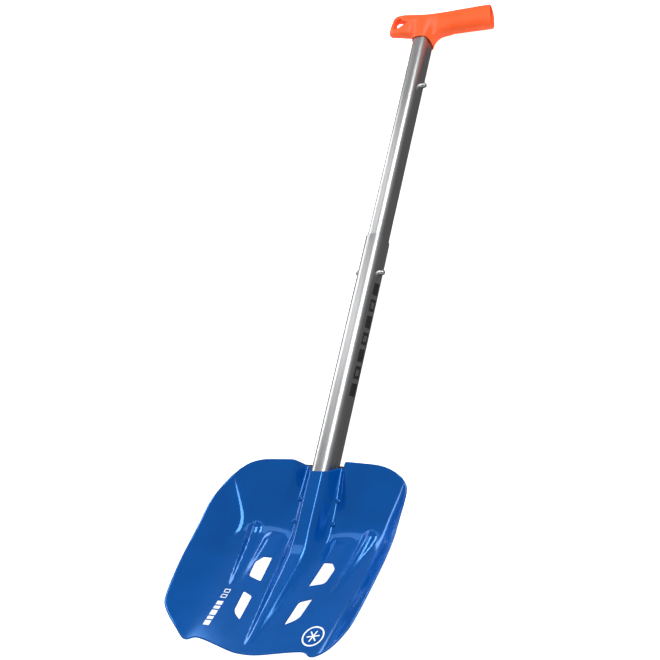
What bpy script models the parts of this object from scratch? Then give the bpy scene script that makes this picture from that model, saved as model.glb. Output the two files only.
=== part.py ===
"""Telescopic avalanche shovel, lying on its back.

Frame, in metres: +Y runs up the shaft to the grip, +Z is the scooping side of the blade and +X is the
side of the grip's long arm. The origin is the middle of the flat back of the blade's socket bracket.
Along the blade, "down" is the distance from its top edge towards its tip.
"""

import math

import bmesh
import bpy
from mathutils import Matrix, Vector

MM = 0.001
GAP = 0.3 * MM

# Shaft: two oval aluminium tubes on one axis.
SHAFT_HEIGHT = 20.0 * MM
OVAL_POWER = 2.8
OVAL_POINTS = 40
LOWER_HALF_X = 12.5 * MM
LOWER_HALF_Z = 16.0 * MM
LOWER_WALL = 1.1 * MM
UPPER_HALF_X = 11.1 * MM
UPPER_HALF_Z = 14.6 * MM
UPPER_WALL = 1.0 * MM
LOWER_START = -42.0 * MM
RIM_Y = 333.4 * MM
UPPER_START = 265.4 * MM
UPPER_END = 658.0 * MM
EXTENSION_HOLE_Y = RIM_Y - 45.0 * MM
STOW_HOLE_Y = RIM_Y + 228.0 * MM
LOCK_HOLE_Y = -18.0 * MM

# Snap buttons: turned pins with a flange inside the tube.
BUTTON_RADIUS = 3.5 * MM
BUTTON_TIP_RADIUS = 2.9 * MM
BUTTON_TIP_X = 18.3 * MM
FLANGE_PLAY = 0.9 * MM
BUTTON_FLANGE_RADIUS = 4.8 * MM
BUTTON_FLANGE = 1.1 * MM
LOCK_TIP_DEPTH = 19.3 * MM
LEAF_THICKNESS = 0.6 * MM
LEAF_WIDTH = 8.0 * MM

# Blade: a pressed sheet. Heights are above the shaft axis, on the front face.
SHEET = 2.0 * MM
BLADE_TOP_Y = 44.0 * MM
PANEL_TOP = 16.0 * MM
PANEL_SLOPE = -0.33
FLOOR_DOWN = 79.0 * MM
FLOOR_HEIGHT = -4.0 * MM
FLOOR_SLOPE = 0.56
PANEL_ROUND = 12.0 * MM
VALLEY_HEIGHT = -2.0 * MM
VALLEY_ROUND = 4.0 * MM
CREST_HEIGHT = 18.8 * MM
CREST_BEND_DOWN = 95.0 * MM
CREST_BEND_HEIGHT = 16.0 * MM
CREST_SLOPE = 0.467
RIDGE_HALF_WIDTH = 24.0 * MM
RIDGE_TAPER = 0.16
RIDGE_FLAT = 0.25
PANEL_INNER = 19.0 * MM
PANEL_OUTER = 33.0 * MM
PANEL_SPREAD = 30.0 * MM
PANEL_SPREAD_DOWN = 80.0 * MM
WALL_FOLD_X = 90.0 * MM
WALL_FOLD_FLARE = 17.0 * MM
WALL_FLARE_START = 10.0 * MM
WALL_FLARE_END = 75.0 * MM
WALL_FOLD_TAPER = 0.04
WALL_ROUND = 7.0 * MM
WALL_SLOPE = 1.5
WALL_EASE = 3.0
BEAD_HEIGHT = 4.5 * MM
BEAD_HALF_WIDTH = 10.0 * MM
BEAD_START = (70.0 * MM, 76.0 * MM)
BEAD_END = (59.0 * MM, 150.0 * MM)
PLATEAU_HEIGHT = 2.5 * MM
BLADE_ROWS = 38
BLADE_CENTRE_COLUMNS = 9
BLADE_SIDE_COLUMNS = 12

# Half outline of the blade as (across, down), from the notch over the shaft round to the tip.
OUTLINE_TOP = [(0, 12), (8, 11.6), (13.5, 8.5), (17.5, 3), (23, -0.5), (31, -1), (50, -0.5), (70, 0.6),
               (82, 3), (92, 7), (101, 13)]
OUTLINE_SIDE = [(101, 13), (107.5, 22), (111.5, 36), (114.5, 58), (115.7, 90), (114.7, 125), (111.8, 158),
                (108.5, 179), (104.5, 188), (97.5, 197)]
OUTLINE_BOTTOM = [(0, 223.5), (10, 223), (22, 220.8), (35, 217.6), (48, 214.6), (60, 212.6), (65.5, 213.3),
                  (70.5, 216), (76, 215.6), (84, 210), (97.5, 197)]

# Lightening and anchor holes, as (across, down) corners on the +X half.
UPPER_HOLE = [(31, 109.5), (41.8, 109.5), (48.3, 117), (46, 133), (43.5, 135.5), (28.4, 140)]
LOWER_HOLE = [(41.1, 153.3), (38.6, 175.7), (35, 180.5), (25.5, 187), (27.6, 159.5), (30.5, 157.5)]

# Socket bracket behind the blade.
BRACKET_TOP_Y = 48.0 * MM
BRACKET_BOTTOM_Y = -48.0 * MM
BRACKET_HALF_X = 17.0 * MM
BRACKET_FLANGE_X = 30.0 * MM
BRACKET_FLANGE_TOP = -6.4 * MM
BRACKET_FLANGE_BOTTOM = -8.8 * MM
BRACKET_END_WALL = 2.8 * MM
BRACKET_DISH_RADIUS = 9.0 * MM
BRACKET_DISH_DEPTH = 1.0 * MM
RIVET_X = 23.5 * MM
RIVET_DOWNS = (38.0 * MM, 64.0 * MM)
RIVET_RADIUS = 2.0 * MM
RIVET_HEAD_RADIUS = 2.8 * MM
RIVET_HEAD = 0.5 * MM

# Grip: an asymmetric hollow T. Stations are (x, centre y from the arm line, half y, half z).
GRIP_ARM_Y = RIM_Y + 327.0 * MM
GRIP_NECK_Y = RIM_Y + 296.5 * MM
GRIP_NECK_WALL = 2.0 * MM
GRIP_STATIONS = [(-53.5, 7.5, 13.5, 4.0), (-52.0, 7.5, 15.6, 5.2), (-46, 7.2, 16.6, 6.2),
                 (-34, 5.6, 17.0, 8.0), (-18, 2.0, 17.4, 12.0), (0, 0.0, 17.8, 15.0),
                 (18, 0.0, 17.8, 13.2), (40, 0.0, 17.7, 11.8), (66, 0.0, 17.6, 11.5), (91, 0.0, 17.5, 11.5)]
GRIP_POWER = 2.4
GRIP_LEFT_LEAN = 0.16
GRIP_END_LEAN = -0.186
GRIP_END_SHEAR = 0.05
GRIP_SHELL = 3.0 * MM
GRIP_HOLLOW_START = 26.0 * MM
EYELET_X = -41.0 * MM
EYELET_Y = GRIP_ARM_Y + 6.0 * MM
GRIP_RIVET_YS = (GRIP_NECK_Y + 9.0 * MM, GRIP_NECK_Y + 21.0 * MM)


def smooth_max(a, b, round_size):
    """The larger of a and b, with the corner between them rounded."""
    return 0.5 * (a + b + math.sqrt((a - b) ** 2 + round_size ** 2))


def smooth_step(low, high, value):
    """0 below low, 1 above high, with a smooth S between them."""
    part = min(max((value - low) / (high - low), 0.0), 1.0)
    return part * part * (3.0 - 2.0 * part)


def panel_height(down):
    """The sheet between the ridge and the wall: it falls from the top edge, then rises to the tip."""
    upper = PANEL_TOP + PANEL_SLOPE * down
    lower = FLOOR_HEIGHT + FLOOR_SLOPE * (down - FLOOR_DOWN)
    return smooth_max(upper, lower, PANEL_ROUND)


def valley_height(down):
    """The two grooves beside the ridge: parallel to the shaft, then along the floor."""
    lower = FLOOR_HEIGHT + FLOOR_SLOPE * (down - FLOOR_DOWN)
    return smooth_max(VALLEY_HEIGHT, lower, VALLEY_ROUND)


def ridge_height(across, down):
    """The hollow ridge that covers the shaft and runs out to a point near the tip."""
    rising = CREST_BEND_HEIGHT + CREST_SLOPE * (down - CREST_BEND_DOWN)
    crest = smooth_max(CREST_HEIGHT, rising, VALLEY_ROUND)
    height = max(crest - valley_height(down), 0.0)
    half = RIDGE_HALF_WIDTH - RIDGE_TAPER * max(down - CREST_BEND_DOWN, 0.0)
    return height * (1.0 - smooth_step(RIDGE_FLAT, 1.0, across / max(half, MM)))


def wall_height(across, down):
    """The side wall: a straight flare whose fold runs inwards from the top corner."""
    flare = WALL_FOLD_FLARE * (1.0 - smooth_step(WALL_FLARE_START, WALL_FLARE_END, down))
    fold = WALL_FOLD_X + flare - WALL_FOLD_TAPER * max(down - 110.0 * MM, 0.0)
    slope = WALL_SLOPE * (1.0 - WALL_EASE * max(down - WALL_FLARE_END, 0.0))
    return slope * smooth_max(across - fold, 0.0, WALL_ROUND)


def bead_height(across, down):
    """A teardrop stiffening bead beside the side wall, and the raised plateau beside it."""
    x0, down0 = BEAD_START
    x1, down1 = BEAD_END
    run = min(max((down - down0) / (down1 - down0), 0.0), 1.0)
    centre = x0 + (x1 - x0) * run
    half = BEAD_HALF_WIDTH * (1.0 - 0.55 * run)
    off = math.hypot(across - centre, min(down - down0, 0.0)) / half
    bead = BEAD_HEIGHT * (1.0 - run) * (1.0 - smooth_step(0.1, 1.0, off))
    plateau = smooth_step(26.0 * MM, 34.0 * MM, across) * (1.0 - smooth_step(46.0 * MM, 56.0 * MM, across))
    return bead + PLATEAU_HEIGHT * plateau * smooth_step(74.0 * MM, 90.0 * MM, down) * (1.0 - run)


def blade_height(x, down):
    """Front face of the blade above the shaft axis."""
    across = abs(x)
    valley = valley_height(down)
    outer = PANEL_OUTER + PANEL_SPREAD * min(max(down, 0.0) / PANEL_SPREAD_DOWN, 1.0) ** 2
    base = valley + (panel_height(down) - valley) * smooth_step(PANEL_INNER, outer, across)
    return base + ridge_height(across, down) + wall_height(across, down) + bead_height(across, down)


def blade_point(x, down, depth):
    """World point of the sheet at this place, depth behind its front face."""
    step = 0.2 * MM
    slope_x = (blade_height(x + step, down) - blade_height(x - step, down)) / (2 * step)
    slope_down = (blade_height(x, down + step) - blade_height(x, down - step)) / (2 * step)
    normal = Vector((-slope_x, slope_down, 1.0)).normalized()
    front = Vector((x, BLADE_TOP_Y - down, SHAFT_HEIGHT + blade_height(x, down)))
    return front - normal * depth


def clear_scene():
    for obj in list(bpy.data.objects):
        bpy.data.objects.remove(obj, do_unlink=True)


def make_material(name, color, roughness, metallic):
    material = bpy.data.materials.new(name)
    material.use_nodes = True
    shader = material.node_tree.nodes["Principled BSDF"]
    shader.inputs["Base Color"].default_value = (*color, 1.0)
    shader.inputs["Roughness"].default_value = roughness
    shader.inputs["Metallic"].default_value = metallic
    return material


def add_object(name, bm, material=None, origin=(0, 0, 0), smooth_angle=35.0):
    """An object from a bmesh in world space, with its origin at the given point."""
    bmesh.ops.translate(bm, verts=bm.verts, vec=-Vector(origin))
    mesh = bpy.data.meshes.new(name)
    bm.to_mesh(mesh)
    bm.free()
    mesh.shade_smooth()
    mesh.set_sharp_from_angle(angle=math.radians(smooth_angle))
    obj = bpy.data.objects.new(name, mesh)
    obj.location = origin
    bpy.context.scene.collection.objects.link(obj)
    if material:
        mesh.materials.append(material)
    else:
        obj.hide_render = True
        obj.display_type = "WIRE"
    return obj


def boolean(obj, other, operation="DIFFERENCE"):
    modifier = obj.modifiers.new(operation.title() + "_" + other.name, "BOOLEAN")
    modifier.object = other
    modifier.operation = operation
    modifier.solver = "EXACT"


def loft(bm, loops):
    """A closed solid through loops of equal length, capped at both ends."""
    rings = [[bm.verts.new(point) for point in loop] for loop in loops]
    count = len(rings[0])
    for first, second in zip(rings, rings[1:]):
        for i in range(count):
            j = (i + 1) % count
            bm.faces.new((first[i], first[j], second[j], second[i]))
    bm.faces.new(rings[0][::-1])
    bm.faces.new(rings[-1])
    bmesh.ops.recalc_face_normals(bm, faces=bm.faces)


def oval(half_x, half_z, y, power=OVAL_POWER, count=OVAL_POINTS):
    """Points of a rounded-rectangle oval round the shaft axis."""
    points = []
    for i in range(count):
        angle = 2 * math.pi * i / count
        cos, sin = math.cos(angle), math.sin(angle)
        x = half_x * math.copysign(abs(cos) ** (2 / power), cos)
        z = half_z * math.copysign(abs(sin) ** (2 / power), sin)
        points.append((x, y, SHAFT_HEIGHT + z))
    return points


def tube_bmesh(half_x, half_z, wall, start, end):
    """An open-ended oval tube with one closed skin."""
    bm = bmesh.new()
    sections = [oval(half_x, half_z, start), oval(half_x, half_z, end),
                oval(half_x - wall, half_z - wall, end), oval(half_x - wall, half_z - wall, start)]
    rings = [[bm.verts.new(point) for point in section] for section in sections]
    count = len(rings[0])
    for k, first in enumerate(rings):
        second = rings[(k + 1) % 4]
        for i in range(count):
            j = (i + 1) % count
            bm.faces.new((first[i], first[j], second[j], second[i]))
    bmesh.ops.recalc_face_normals(bm, faces=bm.faces)
    return bm


def turned_bmesh(profile, origin, axis, segments=20):
    """A turned solid: profile holds (radius, height) pairs from the axis out and back to it."""
    bm = bmesh.new()
    turn = Vector((0, 0, 1)).rotation_difference(Vector(axis)).to_matrix().to_4x4()
    place = Matrix.Translation(Vector(origin)) @ turn
    ends = [bm.verts.new(place @ Vector((0, 0, profile[k][1]))) for k in (0, -1)]
    rings = []
    for radius, height in profile[1:-1]:
        ring = []
        for i in range(segments):
            angle = 2 * math.pi * i / segments
            point = Vector((radius * math.cos(angle), radius * math.sin(angle), height))
            ring.append(bm.verts.new(place @ point))
        rings.append(ring)
    for i in range(segments):
        j = (i + 1) % segments
        bm.faces.new((ends[0], rings[0][i], rings[0][j]))
        bm.faces.new((ends[1], rings[-1][j], rings[-1][i]))
        for first, second in zip(rings, rings[1:]):
            bm.faces.new((first[i], second[i], second[j], first[j]))
    bmesh.ops.recalc_face_normals(bm, faces=bm.faces)
    return bm


def rod(name, origin, axis, radius, length, segments=20):
    """A hidden cutter: a plain rod centred on origin."""
    profile = [(0, -length / 2), (radius, -length / 2), (radius, length / 2), (0, length / 2)]
    return add_object(name, turned_bmesh(profile, origin, axis, segments))


def strip_bmesh(path, width_axis, width, thickness):
    """A bent leaf: path holds the middle of its thickness, width_axis the direction of its width."""
    bm = bmesh.new()
    side = Vector(width_axis) * (width / 2)
    loops = []
    for i, point in enumerate(path):
        before = Vector(path[max(i - 1, 0)])
        after = Vector(path[min(i + 1, len(path) - 1)])
        across = (after - before).normalized().cross(Vector(width_axis)) * (thickness / 2)
        middle = Vector(point)
        loops.append([middle + across + side, middle - across + side,
                      middle - across - side, middle + across - side])
    loft(bm, loops)
    return bm


def even_curve(points, count):
    """count + 1 points spaced evenly along a smooth curve through points, which are in millimetres."""
    fine = []
    last = len(points) - 1
    for k in range(last):
        p0, p1, p2, p3 = (Vector(points[min(max(k + d, 0), last)]) for d in (-1, 0, 1, 2))
        for s in range(16):
            t = s / 16
            fine.append(0.5 * (2 * p1 + (p2 - p0) * t + (2 * p0 - 5 * p1 + 4 * p2 - p3) * t * t
                               + (3 * p1 - p0 - 3 * p2 + p3) * t ** 3))
    fine.append(Vector(points[last]))
    lengths = [0.0]
    for first, second in zip(fine, fine[1:]):
        lengths.append(lengths[-1] + (second - first).length)
    result = []
    k = 0
    for i in range(count + 1):
        target = lengths[-1] * i / count
        while k < len(fine) - 2 and lengths[k + 1] < target:
            k += 1
        part = (target - lengths[k]) / (lengths[k + 1] - lengths[k])
        result.append((fine[k] + (fine[k + 1] - fine[k]) * min(max(part, 0.0), 1.0)) * MM)
    return result


def blade_columns():
    """Column places from 0 at the centre to 1 at the side, closer together over the ridge."""
    split = 0.36
    inner = [split * i / BLADE_CENTRE_COLUMNS for i in range(BLADE_CENTRE_COLUMNS)]
    outer = [split + (1 - split) * i / BLADE_SIDE_COLUMNS for i in range(BLADE_SIDE_COLUMNS + 1)]
    return inner + outer


def curve_at(curve, part):
    place = part * (len(curve) - 1)
    k = min(int(place), len(curve) - 2)
    return curve[k] + (curve[k + 1] - curve[k]) * (place - k)


def blade_grid():
    """Rows of flat (across, down) points that fill the outline and follow its edge."""
    top = even_curve(OUTLINE_TOP, 90)
    side = even_curve(OUTLINE_SIDE, BLADE_ROWS)
    bottom = even_curve(OUTLINE_BOTTOM, 90)
    half = blade_columns()
    places = [-c for c in half[:0:-1]] + half
    rows = []
    for r in range(BLADE_ROWS + 1):
        v = r / BLADE_ROWS
        row = []
        for c in places:
            u = abs(c)
            low, high = curve_at(top, u), curve_at(bottom, u)
            edge = side[r]
            centre = top[0] + (bottom[0] - top[0]) * v
            corners = (top[0] * (1 - u) + top[-1] * u) * (1 - v)
            corners += (bottom[0] * (1 - u) + bottom[-1] * u) * v
            point = low * (1 - v) + high * v + centre * (1 - u) + edge * u - corners
            row.append((math.copysign(point.x, c) if c else 0.0, point.y))
        rows.append(row)
    return rows


def flat_blade():
    """The blade's blank before pressing: a flat slab of two skins joined round its edge."""
    bm = bmesh.new()
    grid = blade_grid()
    skins = []
    for depth in (0.0, SHEET):
        skins.append([[bm.verts.new((x, -down, -depth)) for x, down in row] for row in grid])
    front, back = skins
    last_row, last_column = len(grid) - 1, len(grid[0]) - 1
    for r in range(last_row):
        for c in range(last_column):
            bm.faces.new((front[r][c], front[r + 1][c], front[r + 1][c + 1], front[r][c + 1]))
            bm.faces.new((back[r][c], back[r][c + 1], back[r + 1][c + 1], back[r + 1][c]))
    rim = [(0, c) for c in range(last_column)] + [(r, last_column) for r in range(last_row)]
    rim += [(last_row, c) for c in range(last_column, 0, -1)] + [(r, 0) for r in range(last_row, 0, -1)]
    for (r0, c0), (r1, c1) in zip(rim, rim[1:] + rim[:1]):
        bm.faces.new((front[r0][c0], front[r1][c1], back[r1][c1], back[r0][c0]))
    bmesh.ops.recalc_face_normals(bm, faces=bm.faces)
    return bm


def rounded_corners(corners, radius, steps=3):
    """Corner points in millimetres, each replaced by a short arc."""
    points = []
    count = len(corners)
    for i, corner in enumerate(corners):
        here = Vector(corner)
        before = (Vector(corners[i - 1]) - here).normalized()
        after = (Vector(corners[(i + 1) % count]) - here).normalized()
        for s in range(steps + 1):
            t = s / steps
            start, end = here + before * radius, here + after * radius
            points.append((start * (1 - t) ** 2 + here * 2 * t * (1 - t) + end * t * t) * MM)
    return points


def slot_cutter(name, outline, low, high):
    """A hidden cutter: an outline in x and y, raised from low to high."""
    bm = bmesh.new()
    loft(bm, [[(p.x, p.y, z) for p in outline] for z in (low, high)])
    return add_object(name, bm)


def applied(obj):
    """The object's evaluated mesh as a bmesh; the object itself is removed."""
    bpy.context.view_layer.update()
    graph = bpy.context.evaluated_depsgraph_get()
    bm = bmesh.new()
    bm.from_mesh(obj.evaluated_get(graph).to_mesh())
    bpy.data.objects.remove(obj, do_unlink=True)
    return bm


def make_blade(material):
    blank = add_object("blade_blank", flat_blade())
    number = 0
    for hole in (UPPER_HOLE, LOWER_HOLE):
        for side in (1, -1):
            number += 1
            outline = [Vector((side * p.x, -p.y)) for p in rounded_corners(hole, 1.6)]
            boolean(blank, slot_cutter(f"blade_hole_cutter_{number}", outline, -SHEET * 2, SHEET))
    for down in RIVET_DOWNS:
        for side in (1, -1):
            number += 1
            cutter = rod(f"blade_hole_cutter_{number}", (side * RIVET_X, -down, 0), (0, 0, 1),
                         RIVET_RADIUS + 2 * GAP, SHEET * 6, 12)
            boolean(blank, cutter)
    bm = applied(blank)
    bmesh.ops.triangulate(bm, faces=bm.faces)
    for vert in bm.verts:
        vert.co = blade_point(vert.co.x, -vert.co.y, -vert.co.z)
    return add_object("blade", bm, material)


def bracket_section():
    """Half-open channel in x and z: flanges under the sheet, a flat back and an oval bed for the tube."""
    bed_x, bed_z = LOWER_HALF_X + GAP, LOWER_HALF_Z + GAP
    bed = []
    for x, _, z in oval(bed_x, bed_z, 0.0):
        if z - SHAFT_HEIGHT < BRACKET_FLANGE_TOP:
            bed.append((x, z - SHAFT_HEIGHT))
    bed.sort(key=lambda point: point[0])
    outer = [(BRACKET_HALF_X, BRACKET_FLANGE_BOTTOM), (BRACKET_HALF_X, -17.0 * MM),
             (BRACKET_HALF_X - 0.9 * MM, -19.1 * MM), (BRACKET_HALF_X - 3.0 * MM, -SHAFT_HEIGHT)]
    right = [(bed_x, BRACKET_FLANGE_TOP), (BRACKET_FLANGE_X, BRACKET_FLANGE_TOP),
             (BRACKET_FLANGE_X, BRACKET_FLANGE_BOTTOM)] + outer
    left = [(-x, z) for x, z in right[::-1]]
    return right + left + bed


def make_bracket(material):
    bm = bmesh.new()
    section = bracket_section()
    loft(bm, [[(x, y, SHAFT_HEIGHT + z) for x, z in section] for y in (BRACKET_BOTTOM_Y, BRACKET_TOP_Y)])
    bracket = add_object("socket_bracket", bm, material)
    wall = bmesh.new()
    ends = (BRACKET_BOTTOM_Y, BRACKET_BOTTOM_Y + BRACKET_END_WALL)
    floor = 0.5 * MM
    corners = [(BRACKET_HALF_X - floor, BRACKET_FLANGE_TOP), (BRACKET_HALF_X - floor, -17.0 * MM),
               (BRACKET_HALF_X - 3.0 * MM, -SHAFT_HEIGHT + floor)]
    corners += [(-x, z) for x, z in corners[::-1]]
    shifts = [floor if y > ends[0] else 0 for y in ends]
    loft(wall, [[(x, y + shift, SHAFT_HEIGHT + z) for x, z in corners] for y, shift in zip(ends, shifts)])
    boolean(bracket, add_object("bracket_end_wall", wall), "UNION")
    drill = rod("lock_hole_cutter", (0, LOCK_HOLE_Y, 0), (0, 0, 1), BUTTON_RADIUS + GAP, 16 * MM, 24)
    boolean(bracket, drill)
    dish = [(0, -2 * MM), (BRACKET_DISH_RADIUS, -2 * MM), (BRACKET_DISH_RADIUS, 0),
            (BUTTON_RADIUS + 1.5 * MM, BRACKET_DISH_DEPTH), (0, BRACKET_DISH_DEPTH)]
    boolean(bracket, add_object("lock_dish_cutter", turned_bmesh(dish, (0, LOCK_HOLE_Y, 0), (0, 0, 1), 28)))
    for number, (x, down) in enumerate(rivet_places(), 1):
        cutter = rod(f"bracket_rivet_cutter_{number}", (x, BLADE_TOP_Y - down, SHAFT_HEIGHT), (0, 0, 1),
                     RIVET_RADIUS + GAP, 40 * MM, 12)
        boolean(bracket, cutter)
    return bracket


def rivet_places():
    return [(side * RIVET_X, down) for down in RIVET_DOWNS for side in (1, -1)]


def make_bracket_rivets(material):
    """Low round heads on the sheet, with the formed ends behind the bracket's flanges."""
    for number, (x, down) in enumerate(rivet_places(), 1):
        seat = max(blade_height(x + dx, down + dy) for dx in (-RIVET_HEAD_RADIUS, 0, RIVET_HEAD_RADIUS)
                   for dy in (-RIVET_HEAD_RADIUS, 0, RIVET_HEAD_RADIUS)) + GAP
        back = BRACKET_FLANGE_BOTTOM - GAP
        profile = [(0, back - 1.6 * MM), (2.2 * MM, back - 1.6 * MM), (3.0 * MM, back - 0.9 * MM),
                   (3.0 * MM, back), (RIVET_RADIUS, back), (RIVET_RADIUS, seat), (RIVET_HEAD_RADIUS, seat),
                   (2.2 * MM, seat + RIVET_HEAD), (0, seat + RIVET_HEAD)]
        place = (x, BLADE_TOP_Y - down, SHAFT_HEIGHT)
        add_object(f"bracket_rivet_{number}", turned_bmesh(profile, place, (0, 0, 1), 14), material, place)


def make_tubes(material):
    lower = add_object("lower_tube", tube_bmesh(LOWER_HALF_X, LOWER_HALF_Z, LOWER_WALL, LOWER_START, RIM_Y),
                       material, (0, 0, SHAFT_HEIGHT))
    hole = BUTTON_RADIUS + GAP
    side, back = (1, 0, 0), (0, 0, 1)
    extension = (0, EXTENSION_HOLE_Y, SHAFT_HEIGHT)
    lock = (0, LOCK_HOLE_Y, SHAFT_HEIGHT - LOWER_HALF_Z)
    stow = (UPPER_HALF_X, STOW_HOLE_Y, SHAFT_HEIGHT)
    boolean(lower, rod("extension_hole_cutter", extension, side, hole, 40 * MM))
    boolean(lower, rod("tube_lock_hole_cutter", lock, back, hole, 10 * MM))
    tube = tube_bmesh(UPPER_HALF_X, UPPER_HALF_Z, UPPER_WALL, UPPER_START, UPPER_END)
    upper = add_object("upper_tube", tube, material, (0, 0, SHAFT_HEIGHT))
    boolean(upper, rod("upper_extension_cutter", extension, side, hole, 40 * MM))
    boolean(upper, rod("stow_hole_cutter", stow, side, hole, 10 * MM))
    for number, y in enumerate(GRIP_RIVET_YS, 1):
        cutter = rod(f"tube_rivet_cutter_{number}", (0, y, SHAFT_HEIGHT - UPPER_HALF_Z), (0, 0, 1),
                     RIVET_RADIUS + GAP, 10 * MM, 12)
        boolean(upper, cutter)


def make_tube_plugs(material):
    """A foot cap on the lower tube and a glide ring in the end of the upper tube."""
    cap = bmesh.new()
    inner_x, inner_z = LOWER_HALF_X - LOWER_WALL - GAP, LOWER_HALF_Z - LOWER_WALL - GAP
    face = LOWER_START - GAP
    outer_x, outer_z = LOWER_HALF_X - GAP, LOWER_HALF_Z - GAP
    loft(cap, [oval(outer_x, outer_z, face - 2.2 * MM), oval(outer_x, outer_z, face),
               oval(inner_x, inner_z, face), oval(inner_x, inner_z, face + 1.4 * MM)])
    add_object("shaft_foot_cap", cap, material, (0, face, SHAFT_HEIGHT))
    ring = bmesh.new()
    plug_x, plug_z = UPPER_HALF_X - UPPER_WALL - GAP, UPPER_HALF_Z - UPPER_WALL - GAP
    face = UPPER_START - GAP
    bore_x, bore_z = plug_x - 1.8 * MM, plug_z - 1.8 * MM
    sections = [oval(UPPER_HALF_X, UPPER_HALF_Z, face - 2.5 * MM), oval(UPPER_HALF_X, UPPER_HALF_Z, face),
                oval(plug_x, plug_z, face), oval(plug_x, plug_z, face + 9 * MM),
                oval(bore_x, bore_z, face + 9 * MM), oval(bore_x, bore_z, face - 2.5 * MM)]
    rings = [[ring.verts.new(point) for point in section] for section in sections]
    for k, first in enumerate(rings):
        second = rings[(k + 1) % len(rings)]
        for i in range(OVAL_POINTS):
            j = (i + 1) % OVAL_POINTS
            ring.faces.new((first[i], first[j], second[j], second[i]))
    bmesh.ops.recalc_face_normals(ring, faces=ring.faces)
    add_object("upper_tube_glide", ring, material, (0, face, SHAFT_HEIGHT))


def snap_button(name, y, axis, flange_out, tip, material):
    """A stepped pin: its flange ends at flange_out from the shaft axis and its face is at tip."""
    rounding = 0.6 * MM
    shoulder = tip - 2.2 * MM
    profile = [(0, flange_out - BUTTON_FLANGE), (BUTTON_FLANGE_RADIUS, flange_out - BUTTON_FLANGE),
               (BUTTON_FLANGE_RADIUS, flange_out), (BUTTON_RADIUS, flange_out),
               (BUTTON_RADIUS, shoulder - 0.3 * MM),
               (BUTTON_RADIUS - 0.3 * MM, shoulder), (BUTTON_TIP_RADIUS, shoulder + 0.2 * MM),
               (BUTTON_TIP_RADIUS, tip - rounding), (BUTTON_TIP_RADIUS - 0.2 * MM, tip - 0.2 * MM),
               (BUTTON_TIP_RADIUS - rounding, tip), (0, tip)]
    place = (0, y, SHAFT_HEIGHT)
    add_object(name, turned_bmesh(profile, place, axis, 20), material, place)


def make_buttons(material):
    flange_out = UPPER_HALF_X - UPPER_WALL - FLANGE_PLAY
    snap_button("extension_button_right", EXTENSION_HOLE_Y, (1, 0, 0), flange_out, BUTTON_TIP_X, material)
    snap_button("extension_button_left", EXTENSION_HOLE_Y, (-1, 0, 0), flange_out, BUTTON_TIP_X, material)
    snap_button("stow_button", STOW_HOLE_Y, (1, 0, 0), flange_out, BUTTON_TIP_X, material)
    lock_flange = LOWER_HALF_Z - LOWER_WALL - FLANGE_PLAY
    snap_button("blade_lock_button", LOCK_HOLE_Y, (0, 0, -1), lock_flange, LOCK_TIP_DEPTH, material)


def clip_path(start, bend, first, second, plane):
    """A hairpin from start to the bend and back: first and second are its legs' offsets from the axis."""
    middle, radius = (first + second) / 2, (first - second) / 2
    way = math.copysign(1.0, bend - start)
    points = [(first, start), (first, (start + bend) / 2), (first, bend)]
    for k in range(1, 12):
        angle = math.pi * k / 12
        points.append((middle + radius * math.cos(angle), bend + way * abs(radius) * math.sin(angle)))
    points += [(second, bend), (second, (start + bend) / 2), (second, start)]
    if plane == "X":
        return [(offset, y, SHAFT_HEIGHT) for offset, y in points]
    return [(0, y, SHAFT_HEIGHT + offset) for offset, y in points]


def make_springs(material):
    leg = UPPER_HALF_X - UPPER_WALL - FLANGE_PLAY - BUTTON_FLANGE - GAP - LEAF_THICKNESS / 2
    wall_leg = UPPER_HALF_X - UPPER_WALL - 2 * GAP - LEAF_THICKNESS / 2
    lock_leg = LOWER_HALF_Z - LOWER_WALL - FLANGE_PLAY - BUTTON_FLANGE - GAP - LEAF_THICKNESS / 2
    top_leg = LOWER_HALF_Z - LOWER_WALL - 3 * GAP - LEAF_THICKNESS / 2
    extension, stow, lock = EXTENSION_HOLE_Y, STOW_HOLE_Y, LOCK_HOLE_Y
    across, upright = (0, 0, 1), (1, 0, 0)
    paths = [
        ("extension_spring", clip_path(extension - 6 * MM, extension + 26 * MM, leg, -leg, "X"), across),
        ("stow_spring", clip_path(stow - 6 * MM, stow + 26 * MM, leg, -wall_leg, "X"), across),
        ("blade_lock_spring", clip_path(lock + 5 * MM, lock - 7 * MM, -lock_leg, top_leg, "Z"), upright),
    ]
    for name, path, width_axis in paths:
        add_object(name, strip_bmesh(path, width_axis, LEAF_WIDTH, LEAF_THICKNESS), material, path[2])


def grip_ring(x, centre_y, half_y, half_z, end, count=32):
    """An oval ring of the grip's arms; end runs from 0 to 1 towards the slanted cut of the long arm."""
    points = []
    left = 1.0 - smooth_step(-53.5 * MM, -25.0 * MM, x)
    for i in range(count):
        angle = 2 * math.pi * i / count
        cos, sin = math.cos(angle), math.sin(angle)
        y = half_y * math.copysign(abs(cos) ** (2 / GRIP_POWER), cos)
        z = half_z * math.copysign(abs(sin) ** (2 / GRIP_POWER), sin)
        lean = y * (GRIP_LEFT_LEAN * left + GRIP_END_LEAN * end) + z * GRIP_END_SHEAR * end
        points.append((x + lean, GRIP_ARM_Y + centre_y + y, SHAFT_HEIGHT + z))
    return points


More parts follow.
